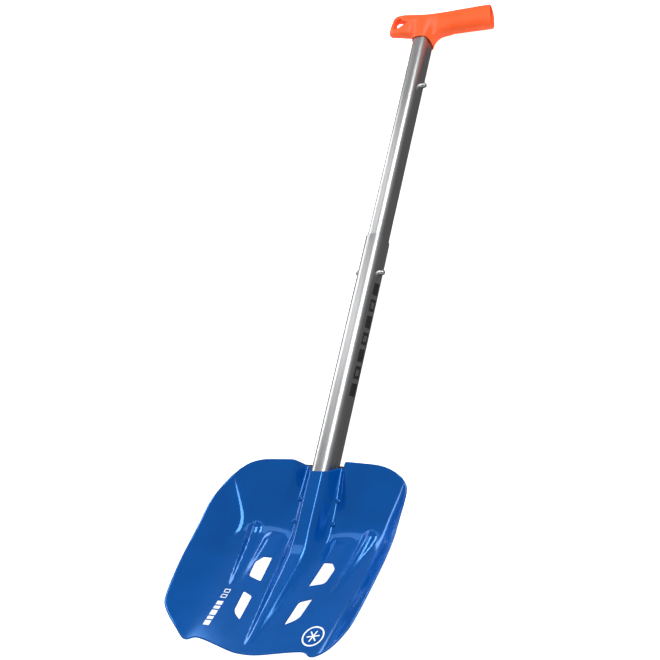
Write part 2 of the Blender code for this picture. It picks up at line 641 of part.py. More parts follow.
def make_grip(material):
    arms = bmesh.new()
    last = GRIP_STATIONS[-1][0]
    loops = [grip_ring(x * MM, cy * MM, hy * MM, hz * MM, smooth_step(40, last, x))
             for x, cy, hy, hz in GRIP_STATIONS]
    loft(arms, loops)
    grip = add_object("grip_handle", arms, material, (0, GRIP_ARM_Y, SHAFT_HEIGHT))
    neck = bmesh.new()
    wall = GRIP_NECK_WALL
    collar = [(GRIP_NECK_Y, 0.9), (GRIP_NECK_Y + 6 * MM, 1.3), (GRIP_NECK_Y + 14 * MM, 1.6),
              (GRIP_ARM_Y + 2 * MM, 1.6)]
    loft(neck, [oval(UPPER_HALF_X + wall * w, UPPER_HALF_Z + wall * w, y) for y, w in collar])
    boolean(grip, add_object("grip_neck", neck), "UNION")
    gusset = [(8, -30), (13.4, -29.5), (15.0, -25), (19.5, -19.5), (27, -15.5), (34, -13), (8, -10)]
    bm = bmesh.new()
    loft(bm, [[(x * MM, GRIP_ARM_Y + y * MM, SHAFT_HEIGHT + z) for x, y in gusset]
              for z in (-7 * MM, 7 * MM)])
    boolean(grip, add_object("grip_gusset", bm), "UNION")
    socket = bmesh.new()
    loft(socket, [oval(UPPER_HALF_X + GAP, UPPER_HALF_Z + GAP, y)
                  for y in (GRIP_NECK_Y - 5 * MM, UPPER_END + GAP)])
    boolean(grip, add_object("grip_socket_cutter", socket))
    hollow = bmesh.new()
    _, _, half_y, half_z = GRIP_STATIONS[-1]
    shell = GRIP_SHELL
    loft(hollow, [grip_ring(x, 0, half_y * MM - shell, half_z * MM - shell, end)
                  for x, end in ((GRIP_HOLLOW_START, 0.0), (110 * MM, 1.0))])
    boolean(grip, add_object("grip_hollow_cutter", hollow))
    slot = [(-4.5, -6.5), (4.5, -6.5), (4.5, 6.5), (-4.5, 6.5)]
    outline = [p + Vector((EYELET_X, EYELET_Y)) for p in rounded_corners(slot, 3.2)]
    boolean(grip, slot_cutter("eyelet_cutter", outline, 0.0, 60 * MM))
    scoop = bmesh.new()
    deep, shallow = SHAFT_HEIGHT + 0.5 * MM, SHAFT_HEIGHT + 16 * MM
    x0, x1 = EYELET_X + 1 * MM, EYELET_X + 21 * MM
    wide_low, wide_high = EYELET_Y - 5.5 * MM, EYELET_Y + 5.5 * MM
    thin_low, thin_high = EYELET_Y - 3.0 * MM, EYELET_Y - 1.0 * MM
    rise = shallow - 6 * MM
    loft(scoop, [[(x0, wide_low, deep), (x0, wide_high, deep),
                  (x0, wide_high, shallow), (x0, wide_low, shallow)],
                 [(x1, thin_low, rise), (x1, thin_high, rise),
                  (x1, thin_high, shallow), (x1, thin_low, shallow)]])
    boolean(grip, add_object("eyelet_scoop_cutter", scoop))
    for number, y in enumerate(GRIP_RIVET_YS, 1):
        cutter = rod(f"grip_rivet_cutter_{number}", (0, y, SHAFT_HEIGHT - UPPER_HALF_Z), (0, 0, 1),
                     RIVET_RADIUS + GAP, 16 * MM, 12)
        boolean(grip, cutter)


def make_grip_rivets(material):
    """Blind rivets through the back of the grip's neck into the upper tube."""
    face = -(UPPER_HALF_Z + GRIP_NECK_WALL * 1.6) - GAP
    inside = -(UPPER_HALF_Z - UPPER_WALL) + GAP
    for number, y in enumerate(GRIP_RIVET_YS, 1):
        profile = [(0, face - 1.0 * MM), (1.4 * MM, face - 1.0 * MM), (3.0 * MM, face - 0.5 * MM),
                   (3.2 * MM, face), (RIVET_RADIUS, face), (RIVET_RADIUS, inside), (2.9 * MM, inside),
                   (2.6 * MM, inside + 1.6 * MM), (0, inside + 1.6 * MM)]
        place = (0, y, SHAFT_HEIGHT)
        add_object(f"grip_rivet_{number}", turned_bmesh(profile, place, (0, 0, 1), 14), material, place)


def main():
    clear_scene()
    blue = make_material("anodised_blue", (0.01, 0.075, 0.33), 0.25, 0.8)
    orange = make_material("grip_orange", (0.85, 0.12, 0.03), 0.45, 0.0)
    aluminium = make_material("brushed_aluminium", (0.45, 0.45, 0.45), 0.35, 1.0)
    steel = make_material("bright_steel", (0.75, 0.75, 0.77), 0.15, 1.0)
    black = make_material("black_nylon", (0.02, 0.02, 0.022), 0.5, 0.0)
    make_blade(blue)
    make_bracket(black)
    make_bracket_rivets(blue)
    make_tubes(aluminium)
    make_tube_plugs(black)
    make_buttons(steel)
    make_springs(steel)
    make_grip(orange)
    make_grip_rivets(steel)


main()
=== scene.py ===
"""Looks of the telescopic avalanche shovel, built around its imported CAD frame.

Metres. +Y runs up the shaft to the grip, +Z is the scooping side of the blade, +X is the grip's long arm.
"""

import math

import bmesh
import bpy
import numpy as np
from mathutils import Matrix, Vector


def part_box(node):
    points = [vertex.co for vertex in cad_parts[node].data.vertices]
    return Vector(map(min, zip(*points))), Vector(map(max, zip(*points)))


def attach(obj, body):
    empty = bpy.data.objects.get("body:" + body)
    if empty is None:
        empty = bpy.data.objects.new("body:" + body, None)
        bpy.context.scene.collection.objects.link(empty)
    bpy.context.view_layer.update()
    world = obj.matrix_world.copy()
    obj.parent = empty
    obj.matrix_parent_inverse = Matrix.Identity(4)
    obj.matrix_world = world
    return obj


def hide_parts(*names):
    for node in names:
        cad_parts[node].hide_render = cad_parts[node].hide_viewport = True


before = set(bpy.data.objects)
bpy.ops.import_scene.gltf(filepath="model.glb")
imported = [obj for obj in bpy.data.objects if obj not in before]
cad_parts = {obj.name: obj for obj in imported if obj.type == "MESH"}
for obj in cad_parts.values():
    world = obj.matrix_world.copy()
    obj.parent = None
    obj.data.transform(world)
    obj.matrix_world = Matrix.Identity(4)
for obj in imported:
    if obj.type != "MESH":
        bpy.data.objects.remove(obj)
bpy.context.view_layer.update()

bl_info = {
    "name": "Avalanche Shovel",
    "version": (1, 0, 0),
    "blender": (4, 5, 0),
    "location": "3D View > Sidebar > Shovel",
    "description": "Builds a telescopic avalanche shovel with its blade, shaft, buttons and grip",
    "category": "Add Mesh",
}

MM = 0.001
TUBE_LOW, TUBE_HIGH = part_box("lower_tube")
UPPER_LOW, UPPER_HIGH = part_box("upper_tube")
GRIP_LOW, GRIP_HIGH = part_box("grip_handle")
SHAFT_HEIGHT = (TUBE_LOW[2] + TUBE_HIGH[2]) / 2
RIM_Y = TUBE_HIGH[1]
BLADE_TOP_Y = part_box("socket_bracket")[1][1] - 4 * MM
EXTENSION_Y, STOW_Y, LOCK_Y = ((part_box(node)[0][1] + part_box(node)[1][1]) / 2
                               for node in ("extension_button_right", "stow_button", "blade_lock_button"))
GRIP_NECK_Y = RIM_Y + 296.5 * MM
ARM_Y = RIM_Y + 327 * MM


# ---------------------------------------------------------------- settings

def length_setting(name, description, default):
    return bpy.props.FloatProperty(name=name, description=description, default=default,
                                   subtype="DISTANCE", unit="LENGTH")


def angle_setting(name, description, degrees):
    return bpy.props.FloatProperty(name=name, description=description, default=math.radians(degrees),
                                   subtype="ANGLE", unit="ROTATION")


def colour_setting(name, description, default):
    return bpy.props.FloatVectorProperty(name=name, description=description, default=default, size=3,
                                         subtype="COLOR", min=0, max=1)


class ShovelBlade(bpy.types.PropertyGroup):
    sheet: length_setting("Sheet", "Thickness of the blade's sheet", 2.0 * MM)
    rows: bpy.props.IntProperty(name="Rows", description="Rows of the blade's mesh", default=150, min=20)
    columns: bpy.props.IntProperty(name="Columns", description="Columns of half the blade's mesh",
                                   default=76, min=20)
    color: colour_setting("Colour", "Anodised colour of the sheet", (0.001, 0.085, 0.37))
    print_color: colour_setting("Print", "Colour of the printed marks", (0.94, 0.96, 1.0))


class ShovelShaft(bpy.types.PropertyGroup):
    power: bpy.props.FloatProperty(name="Oval Power", description="Squareness of the oval section",
                                   default=2.8)
    points: bpy.props.IntProperty(name="Points", description="Points round the oval", default=128, min=24)
    color: colour_setting("Colour", "Brushed aluminium", (0.50, 0.505, 0.51))
    steel: colour_setting("Steel", "Colour of the buttons and clips", (0.72, 0.72, 0.74))


class ShovelGrip(bpy.types.PropertyGroup):
    cell: length_setting("Cell", "Fineness of the grip's mesh", 0.8 * MM)
    fillet: length_setting("Fillet", "Softness where the arms meet the neck", 9.0 * MM)
    color: colour_setting("Colour", "Moulded plastic of the grip", (0.92, 0.105, 0.018))


class ShovelStage(bpy.types.PropertyGroup):
    azimuth: angle_setting("Azimuth", "Side that the camera looks from", 49.7)
    elevation: angle_setting("Elevation", "Height that the camera looks from", 51.1)
    roll: angle_setting("Roll", "Turn of the camera about its view", -43.1)
    distance: length_setting("Distance", "Camera to its target", 1.373)
    lens: bpy.props.FloatProperty(name="Lens", description="Focal length in millimetres", default=64.1)


# ---------------------------------------------------------------- shader helper

class Socket:
    """Wraps a shader socket, so that maths on values is written as Python expressions."""

    def __init__(self, tree, socket):
        self.tree = tree
        self.socket = socket

    def math(self, operation, *others):
        return self.tree.node("ShaderNodeMath", {"operation": operation}, [self, *others])

    def __add__(self, other):
        return self.math("ADD", other)

    def __sub__(self, other):
        return self.math("SUBTRACT", other)

    def __mul__(self, other):
        return self.math("MULTIPLY", other)

    def __truediv__(self, other):
        return self.math("DIVIDE", other)

    def __rsub__(self, other):
        return self.tree.node("ShaderNodeMath", {"operation": "SUBTRACT"}, [other, self])

    def __lt__(self, other):
        return self.math("LESS_THAN", other)

    def __gt__(self, other):
        return self.math("GREATER_THAN", other)

    def __abs__(self):
        return self.math("ABSOLUTE")

    def floor(self):
        return self.math("FLOOR")

    def clip(self):
        return self.tree.node("ShaderNodeClamp", {}, [self])

    def max(self, other):
        return self.math("MAXIMUM", other)


class Tree:
    """A material's nodes, made by one method."""

    def __init__(self, name):
        self.material = bpy.data.materials.new(name)
        self.material.use_nodes = True
        self.nodes = self.material.node_tree.nodes
        self.links = self.material.node_tree.links
        self.shader = self.nodes["Principled BSDF"]

    def node(self, kind, settings=None, inputs=(), output=0):
        node = self.nodes.new(kind)
        for key, value in (settings or {}).items():
            setattr(node, key, value)
        pairs = inputs.items() if isinstance(inputs, dict) else enumerate(inputs)
        for key, value in pairs:
            if isinstance(value, Socket):
                self.links.new(value.socket, node.inputs[key])
            else:
                node.inputs[key].default_value = value
        return Socket(self, node.outputs[output])

    def place(self):
        """The surface point as one vector, and its x, y and z."""
        coordinates = self.node("ShaderNodeTexCoord", output="Object")
        split = self.node("ShaderNodeSeparateXYZ", {}, [coordinates])
        parts = [Socket(self, split.socket.node.outputs[axis]) for axis in range(3)]
        return coordinates, parts

    def scaled(self, coordinates, scale):
        return self.node("ShaderNodeMapping", {}, {"Vector": coordinates, "Scale": scale})

    def noise(self, vector, scale, detail=3.0, roughness=0.5):
        return self.node("ShaderNodeTexNoise", {}, {"Vector": vector, "Scale": scale, "Detail": detail,
                                                    "Roughness": roughness})

    def spread(self, value, low, high, to_low, to_high):
        return self.node("ShaderNodeMapRange", {"clamp": True}, [value, low, high, to_low, to_high])

    def mix(self, factor, first, second):
        node = self.nodes.new("ShaderNodeMix")
        node.data_type = "RGBA"
        for index, value in ((0, factor), (6, first), (7, second)):
            if isinstance(value, Socket):
                self.links.new(value.socket, node.inputs[index])
            else:
                node.inputs[index].default_value = value if index == 0 else (*value[:3], 1.0)
        return Socket(self, node.outputs[2])

    def tone(self, value, low, high, color, dark, light):
        """The colour, from darker to lighter as value goes from low to high."""
        return self.mix(self.spread(value, low, high, 0.0, 1.0), [c * dark for c in color],
                        [c * light for c in color])

    def bump(self, height, strength, distance):
        return self.node("ShaderNodeBump", {}, {"Height": height, "Strength": strength, "Distance": distance})

    def surface(self, **inputs):
        for name, value in inputs.items():
            socket = self.shader.inputs[name.replace("_", " ")]
            if isinstance(value, Socket):
                self.links.new(value.socket, socket)
            else:
                socket.default_value = (*value, 1.0) if isinstance(value, tuple) else value
        return self.material


# ---------------------------------------------------------------- materials

# Bars along the blade: (start, length, half width), all from PRINT_BARS_AT.
PRINT_BARS_AT = (-59 * MM, BLADE_TOP_Y - 198 * MM)
PRINT_BARS = [(0, 5.5 * MM, 3.6 * MM), (7 * MM, 3.5 * MM, 3.6 * MM), (12 * MM, 6 * MM, 3.6 * MM),
              (19.5 * MM, 3.5 * MM, 3.6 * MM), (24.5 * MM, 4.5 * MM, 3.6 * MM), (33 * MM, 4.5 * MM, 3.4 * MM),
              (39.5 * MM, 4.5 * MM, 3.4 * MM)]
PRINT_OPEN_FROM = 5
PRINT_RING_AT = (64 * MM, BLADE_TOP_Y - 195 * MM)
PRINT_RING_RADIUS = 10.5 * MM
PRINT_LINE = 0.9 * MM
SHAFT_PRINT_PITCH = 21.5 * MM
SHAFT_PRINT_COUNT = 7
SHAFT_PRINT_START = RIM_Y - 57 * MM - SHAFT_PRINT_PITCH * SHAFT_PRINT_COUNT
SHAFT_PRINT_SIDE_X = 9.5 * MM


def box_distance(u, v, half_u, half_v):
    """Distance from a box in the plane of u and v: negative inside."""
    return (abs(u) - half_u).max(abs(v) - half_v)


def inside(distance, soft=0.12 * MM):
    """1 inside a drawn shape, 0 outside, with a thin soft edge."""
    return (0.5 - distance / soft).clip()


def turned_plane(x, y, centre, angle):
    """Coordinates along and across a direction in the x-y plane."""
    cos, sin = math.cos(angle), math.sin(angle)
    dx, dy = x - centre[0], y - centre[1]
    return dx * cos + dy * sin, dy * cos - dx * sin


def blade_print(x, y):
    """White generic marks: a row of bars on one side and a ringed snow crystal on the other."""
    along, across = turned_plane(x, y, PRINT_BARS_AT, math.radians(90))
    marks = None
    for number, (start, length, half) in enumerate(PRINT_BARS):
        middle = start + length / 2
        shape = inside(box_distance(along - middle, across, length / 2, half))
        if number >= PRINT_OPEN_FROM:
            shape = shape * (1 - inside(box_distance(along - middle, across, length / 2 - PRINT_LINE,
                                                     half - PRINT_LINE)))
        marks = shape if marks is None else marks.max(shape)
    dx, dy = x - PRINT_RING_AT[0], y - PRINT_RING_AT[1]
    radius = (dx * dx + dy * dy).math("SQRT")
    ring = inside(abs(radius - PRINT_RING_RADIUS) - 0.8 * MM)
    marks = marks.max(ring)
    for k in range(3):
        u, v = turned_plane(x, y, PRINT_RING_AT, math.radians(60 * k + 15))
        marks = marks.max(inside(box_distance(u, v, PRINT_RING_RADIUS * 0.62, 0.7 * MM)))
    return marks


def blade_material(color, print_color):
    tree = Tree("anodised_blue")
    coordinates, (x, y, _) = tree.place()
    cloud = tree.noise(coordinates, 28.0, 3.0)
    grain = tree.noise(tree.scaled(coordinates, (420.0, 60.0, 420.0)), 1.0, 2.0)
    tone = tree.tone(cloud, 0.35, 0.65, color, 0.93, 1.06)
    front = tree.node("ShaderNodeSeparateXYZ", {}, [tree.node("ShaderNodeNewGeometry", output="Normal")], 2)
    marks = blade_print(x, y) * (front > 0.1)
    rough = tree.spread(cloud + grain * 0.5, 0.5, 1.0, 0.09, 0.12)
    wear = tree.spread(tree.noise(coordinates, 190.0, 5.0, 0.7), 0.56, 0.70, 0.0, 1.0)
    tip = tree.spread(y, BLADE_TOP_Y - 222 * MM, BLADE_TOP_Y - 214 * MM, 1.0, 0.0)
    edge = tree.node("ShaderNodeNewGeometry", output="Pointiness")
    rub = (tree.spread(edge, 0.56, 0.64, 0.0, 0.35) * wear * tip).clip()
    base = tree.mix(rub, tone, (0.35, 0.42, 0.55))
    base = tree.mix(marks, base, print_color)
    height = grain * 0.4 + tree.noise(coordinates, 900.0, 2.0) * 0.3
    return tree.surface(Base_Color=base, Metallic=(1 - marks) * 0.15, Roughness=rough + marks * 0.25,
                        Coat_Weight=0.12, Coat_Roughness=0.04, Coat_IOR=1.5, Specular_IOR_Level=1.0,
                        Specular_Tint=(0.22, 0.6, 1.0),
                        Normal=tree.bump(height, 0.06, 0.02 * MM))


def shaft_print(y, z):
    """Dark generic marks along the flat +X side: solid blocks with open ones between them."""
    along = y - SHAFT_PRINT_START
    number = (along / SHAFT_PRINT_PITCH).floor()
    local = along - number * SHAFT_PRINT_PITCH - SHAFT_PRINT_PITCH * 0.5
    height = z - SHAFT_HEIGHT
    lean = local + height * 0.35
    block = inside(box_distance(lean, height, SHAFT_PRINT_PITCH * 0.38, 6.4 * MM), 0.2 * MM)
    cut = inside(box_distance(lean, height, SHAFT_PRINT_PITCH * 0.17, 3.2 * MM), 0.2 * MM)
    odd = number - (number * 0.5).floor() * 2.0
    inside_run = (along > 0.0) * (along < SHAFT_PRINT_PITCH * SHAFT_PRINT_COUNT)
    return block * (1 - cut * odd) * inside_run


def shaft_material(color):
    tree = Tree("brushed_aluminium")
    coordinates, (x, y, z) = tree.place()
    fine = tree.noise(tree.scaled(coordinates, (2600.0, 22.0, 2600.0)), 1.0, 4.0, 0.65)
    broad = tree.noise(tree.scaled(coordinates, (420.0, 9.0, 420.0)), 1.0, 3.0)
    cloud = tree.noise(coordinates, 16.0, 2.0)
    tone = tree.tone(broad + fine * 0.6, 0.55, 1.05, color, 0.86, 1.1)
    marks = shaft_print(y, z) * (x > SHAFT_PRINT_SIDE_X)
    base = tree.mix(marks, tone, (0.012, 0.012, 0.013))
    rough = tree.spread(fine + cloud * 0.5, 0.45, 1.05, 0.30, 0.42)
    return tree.surface(Base_Color=base, Metallic=1.0 - marks * 0.9, Roughness=rough + marks * 0.2,
                        Normal=tree.bump(fine + broad * 0.5, 0.25, 0.03 * MM))


def steel_material(color):
    tree = Tree("bright_steel")
    coordinates, _ = tree.place()
    swirl = tree.noise(coordinates, 700.0, 3.0)
    tone = tree.tone(swirl, 0.4, 0.6, color, 0.94, 1.0)
    return tree.surface(Base_Color=tone, Metallic=1.0, Roughness=tree.spread(swirl, 0.35, 0.65, 0.10, 0.17),
                        Normal=tree.bump(swirl, 0.08, 0.02 * MM))


def nylon_material():
    tree = Tree("black_nylon")
    coordinates, _ = tree.place()
    grain = tree.node("ShaderNodeTexVoronoi", {}, {"Vector": coordinates, "Scale": 1500.0})
    cloud = tree.noise(coordinates, 60.0, 3.0)
    tone = tree.mix(cloud, (0.013, 0.013, 0.015), (0.028, 0.028, 0.031))
    return tree.surface(Base_Color=tone, Roughness=tree.spread(cloud, 0.3, 0.7, 0.42, 0.58),
                        Normal=tree.bump(grain, 0.35, 0.05 * MM))


def grip_material(color):
    tree = Tree("grip_orange")
    coordinates, _ = tree.place()
    cloud = tree.noise(coordinates, 35.0, 3.0)
    spark = tree.node("ShaderNodeTexVoronoi", {}, {"Vector": coordinates, "Scale": 2100.0})
    fine = tree.noise(coordinates, 3200.0, 2.0)
    tone = tree.tone(cloud, 0.3, 0.7, color, 0.95, 1.04)
    return tree.surface(Base_Color=tone, Roughness=tree.spread(cloud + fine * 0.4, 0.5, 0.9, 0.40, 0.52),
                        Specular_IOR_Level=0.35,
                        Normal=tree.bump(spark + fine * 0.5, 0.22, 0.04 * MM))


def floor_material():
    tree = Tree("studio_floor")
    coordinates, _ = tree.place()
    cloud = tree.noise(coordinates, 3.0, 3.0)
    tone = tree.mix(cloud, (0.86, 0.86, 0.86), (0.9, 0.9, 0.9))
    return tree.surface(Base_Color=tone, Roughness=0.75, Emission_Color=(1.0, 1.0, 1.0),
                        Emission_Strength=0.9)


def material(name):
    """A finish by its name, made once."""
    made = bpy.data.materials.get(name)
    if made and made.get("finish"):
        return made
    if made:
        made.name = name + "_cad"
    scene = bpy.context.scene
    blade, shaft, grip = scene.shovel_blade, scene.shovel_shaft, scene.shovel_grip
    makers = {
        "anodised_blue": (blade_material, blade.color, blade.print_color),
        "brushed_aluminium": (shaft_material, shaft.color),
        "bright_steel": (steel_material, shaft.steel),
        "black_nylon": (nylon_material,),
        "grip_orange": (grip_material, grip.color),
        "studio_floor": (floor_material,),
    }
    maker, *colors = makers[name]
    made = maker(*(tuple(color) for color in colors))
    made["finish"] = True
    return made


# ---------------------------------------------------------------- mesh helpers

def add_piece(name, mesh, finish, body, node, smooth_angle=40.0):
    """A finished piece that stands for a CAD node."""
    mesh.materials.clear()
    mesh.materials.append(material(finish))
    if smooth_angle is not None:
        mesh.shade_smooth()
        mesh.set_sharp_from_angle(angle=math.radians(smooth_angle))
    obj = bpy.data.objects.new(name, mesh)
    bpy.context.scene.collection.objects.link(obj)
    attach(obj, body)
    if node:
        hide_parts(*([node] if isinstance(node, str) else node))
    return obj


def mesh_from(bm, name):
    mesh = bpy.data.meshes.new(name)
    bm.to_mesh(mesh)
    bm.free()
    return mesh


def helper(name, bm):
    """A cutter, removed after use."""
    obj = bpy.data.objects.new(name, mesh_from(bm, name))
    bpy.context.scene.collection.objects.link(obj)
    return obj


def cut(obj, cutters):
    """The object's mesh after the cutters; the object and the cutters are removed."""
    for cutter in cutters:
        modifier = obj.modifiers.new(cutter.name, "BOOLEAN")
        modifier.object = cutter
        modifier.operation = "DIFFERENCE"
        modifier.solver = "EXACT"
    mesh = evaluated(obj)
    for old in [obj, *cutters]:
        bpy.data.objects.remove(old, do_unlink=True)
    return mesh


def evaluated(obj):
    bpy.context.view_layer.update()
    graph = bpy.context.evaluated_depsgraph_get()
    return bpy.data.meshes.new_from_object(obj.evaluated_get(graph), preserve_all_data_layers=True,
                                           depsgraph=graph)


def loft(bm, loops, closed=False):
    """Skins a list of equal loops, with end caps or joined back to the first loop."""
    rings = [[bm.verts.new(point) for point in ring] for ring in loops]
    count = len(rings[0])
    last = len(rings) if closed else len(rings) - 1
    for k in range(last):
        first, second = rings[k], rings[(k + 1) % len(rings)]
        for i in range(count):
            j = (i + 1) % count
            bm.faces.new((first[i], first[j], second[j], second[i]))
    if not closed:
        bm.faces.new(rings[0][::-1])
        bm.faces.new(rings[-1])
    bmesh.ops.recalc_face_normals(bm, faces=bm.faces)
    return bm


def oval(half_x, half_z, y, power, count):
    """A loop of the shaft's oval section at y."""
    points = []
    for i in range(count):
        angle = 2 * math.pi * i / count
        cos, sin = math.cos(angle), math.sin(angle)
        points.append((half_x * math.copysign(abs(cos) ** (2 / power), cos), y,
                       SHAFT_HEIGHT + half_z * math.copysign(abs(sin) ** (2 / power), sin)))
    return points


def turned(profile, origin, axis, segments):
    """A turned solid from (radius, height) pairs that start and end on the axis."""
    bm = bmesh.new()
    turn = Vector((0, 0, 1)).rotation_difference(Vector(axis)).to_matrix().to_4x4()
    place = Matrix.Translation(Vector(origin)) @ turn
    ends = [bm.verts.new(place @ Vector((0, 0, profile[k][1]))) for k in (0, -1)]
    rings = []
    for radius, height in profile[1:-1]:
        ring = []
        for i in range(segments):
            angle = 2 * math.pi * i / segments
            point = Vector((radius * math.cos(angle), radius * math.sin(angle), height))
            ring.append(bm.verts.new(place @ point))
        rings.append(ring)
    for i in range(segments):
        j = (i + 1) % segments
        bm.faces.new((ends[0], rings[0][i], rings[0][j]))
        bm.faces.new((ends[1], rings[-1][j], rings[-1][i]))
        for first, second in zip(rings, rings[1:]):
            bm.faces.new((first[i], second[i], second[j], first[j]))
    bmesh.ops.recalc_face_normals(bm, faces=bm.faces)
    return bm


def drill(name, origin, axis, length):
    """A round cutter for a button's hole, centred on origin."""
    half = length / 2
    profile = [(0, -half), (DRILL_RADIUS, -half), (DRILL_RADIUS, half), (0, half)]
    return helper(name, turned(profile, origin, axis, 48))


# ---------------------------------------------------------------- blade

PANEL_TOP = 16.0 * MM
PANEL_SLOPE = -0.33
FLOOR_DOWN = 79.0 * MM
FLOOR_HEIGHT = -4.0 * MM
FLOOR_SLOPE = 0.56
PANEL_ROUND = 12.0 * MM
VALLEY_HEIGHT = -2.0 * MM
VALLEY_ROUND = 4.0 * MM
CREST_HEIGHT = 18.8 * MM
CREST_BEND_DOWN = 95.0 * MM
CREST_BEND_HEIGHT = 16.0 * MM
CREST_SLOPE = 0.467
RIDGE_HALF_WIDTH = 24.0 * MM
RIDGE_TAPER = 0.16
RIDGE_FLAT = 0.25
PANEL_INNER = 19.0 * MM
PANEL_OUTER = 33.0 * MM
PANEL_SPREAD = 30.0 * MM
PANEL_SPREAD_DOWN = 80.0 * MM
WALL_FOLD_X = 90.0 * MM
WALL_FOLD_FLARE = 17.0 * MM
WALL_FLARE_START = 10.0 * MM
WALL_FLARE_END = 75.0 * MM
WALL_FOLD_TAPER = 0.04
WALL_ROUND = 7.0 * MM
WALL_SLOPE = 1.5
WALL_EASE = 3.0
BEAD_HEIGHT = 4.5 * MM
BEAD_HALF_WIDTH = 10.0 * MM
BEAD_START = (70.0 * MM, 76.0 * MM)
BEAD_END = (59.0 * MM, 150.0 * MM)
BEAD_NARROWING = 0.55
PLATEAU_HEIGHT = 2.5 * MM
PLATEAU_INNER = (26.0 * MM, 34.0 * MM)
PLATEAU_OUTER = (46.0 * MM, 56.0 * MM)
PLATEAU_TOP = (74.0 * MM, 90.0 * MM)
BLADE_HALF_SIZE = np.array([115 * MM, 106 * MM])

# Right half of the outline and the right-hand holes, in millimetres: (across, down from the top edge).
OUTLINE_TOP = [(0, 12), (8, 11.6), (13.5, 8.5), (17.5, 3), (23, -0.5), (31, -1), (50, -0.5), (70, 0.6),
               (82, 3), (92, 7), (101, 13)]
OUTLINE_SIDE = [(101, 13), (107.5, 22), (111.5, 36), (114.5, 58), (115.7, 90), (114.7, 125), (111.8, 158),
                (108.5, 179), (104.5, 188), (97.5, 197)]
OUTLINE_BOTTOM = [(0, 223.5), (10, 223), (22, 220.8), (35, 217.6), (48, 214.6), (60, 212.6), (65.5, 213.3),
                  (70.5, 216), (76, 215.6), (84, 210), (97.5, 197)]
UPPER_HOLE = [(31, 109.5), (41.8, 109.5), (48.3, 117), (46, 133), (43.5, 135.5), (28.4, 140)]
LOWER_HOLE = [(41.1, 153.3), (38.6, 175.7), (35, 180.5), (25.5, 187), (27.6, 159.5), (30.5, 157.5)]


def smooth_max(a, b, size):
    return 0.5 * (a + b + np.sqrt((a - b) ** 2 + size ** 2))


def smooth_step(low, high, value):
    part = np.clip((value - low) / (high - low), 0.0, 1.0)
    return part * part * (3.0 - 2.0 * part)


def floor_line(down):
    return FLOOR_HEIGHT + FLOOR_SLOPE * (down - FLOOR_DOWN)


def panel_height(down):
    return smooth_max(PANEL_TOP + PANEL_SLOPE * down, floor_line(down), PANEL_ROUND)


def valley_height(down):
    return smooth_max(VALLEY_HEIGHT, floor_line(down), VALLEY_ROUND)


def ridge_height(across, down):
    """The hollow ridge that covers the shaft and runs out to a point near the tip."""
    crest = smooth_max(CREST_HEIGHT, CREST_BEND_HEIGHT + CREST_SLOPE * (down - CREST_BEND_DOWN), VALLEY_ROUND)
    height = np.maximum(crest - valley_height(down), 0.0)
    half = RIDGE_HALF_WIDTH - RIDGE_TAPER * np.maximum(down - CREST_BEND_DOWN, 0.0)
    return height * (1.0 - smooth_step(RIDGE_FLAT, 1.0, across / np.maximum(half, MM)))


def wall_height(across, down):
    """The side wall: a straight flare whose fold runs inwards from the top corner."""
    flare = WALL_FOLD_FLARE * (1.0 - smooth_step(WALL_FLARE_START, WALL_FLARE_END, down))
    fold = WALL_FOLD_X + flare - WALL_FOLD_TAPER * np.maximum(down - 110.0 * MM, 0.0)
    slope = WALL_SLOPE * (1.0 - WALL_EASE * np.maximum(down - WALL_FLARE_END, 0.0))
    return slope * smooth_max(across - fold, 0.0, WALL_ROUND)


def bead_height(across, down):
    """The teardrop bead beside the wall and the raised plateau beside it."""
    x0, down0 = BEAD_START
    x1, down1 = BEAD_END
    run = np.clip((down - down0) / (down1 - down0), 0.0, 1.0)
    half = BEAD_HALF_WIDTH * (1.0 - BEAD_NARROWING * run)
    off = np.hypot(across - (x0 + (x1 - x0) * run), np.minimum(down - down0, 0.0)) / half
    bead = BEAD_HEIGHT * (1.0 - run) * (1.0 - smooth_step(0.1, 1.0, off))
    plateau = smooth_step(*PLATEAU_INNER, across) * (1.0 - smooth_step(*PLATEAU_OUTER, across))
    return bead + PLATEAU_HEIGHT * plateau * smooth_step(*PLATEAU_TOP, down) * (1.0 - run)


def blade_height(x, down):
    across = np.abs(x)
    valley = valley_height(down)
    outer = PANEL_OUTER + PANEL_SPREAD * np.clip(down / PANEL_SPREAD_DOWN, 0.0, 1.0) ** 2
    base = valley + (panel_height(down) - valley) * smooth_step(PANEL_INNER, outer, across)
    return base + ridge_height(across, down) + wall_height(across, down) + bead_height(across, down)


def blade_normals(x, down):
    step = 0.2 * MM
    slope_x = (blade_height(x + step, down) - blade_height(x - step, down)) / (2 * step)
    slope_down = (blade_height(x, down + step) - blade_height(x, down - step)) / (2 * step)
    normals = np.stack([-slope_x, slope_down, np.ones_like(slope_x)], axis=1)
    return normals / np.linalg.norm(normals, axis=1, keepdims=True)


def press(flat):
    """Points of the flat blank, as (x, -down, -depth), in their places in the pressed blade."""
    x, down, depth = flat[:, 0], -flat[:, 1], -flat[:, 2]
    front = np.stack([x, BLADE_TOP_Y - down, SHAFT_HEIGHT + blade_height(x, down)], axis=1)
    return front - blade_normals(x, down) * depth[:, None]


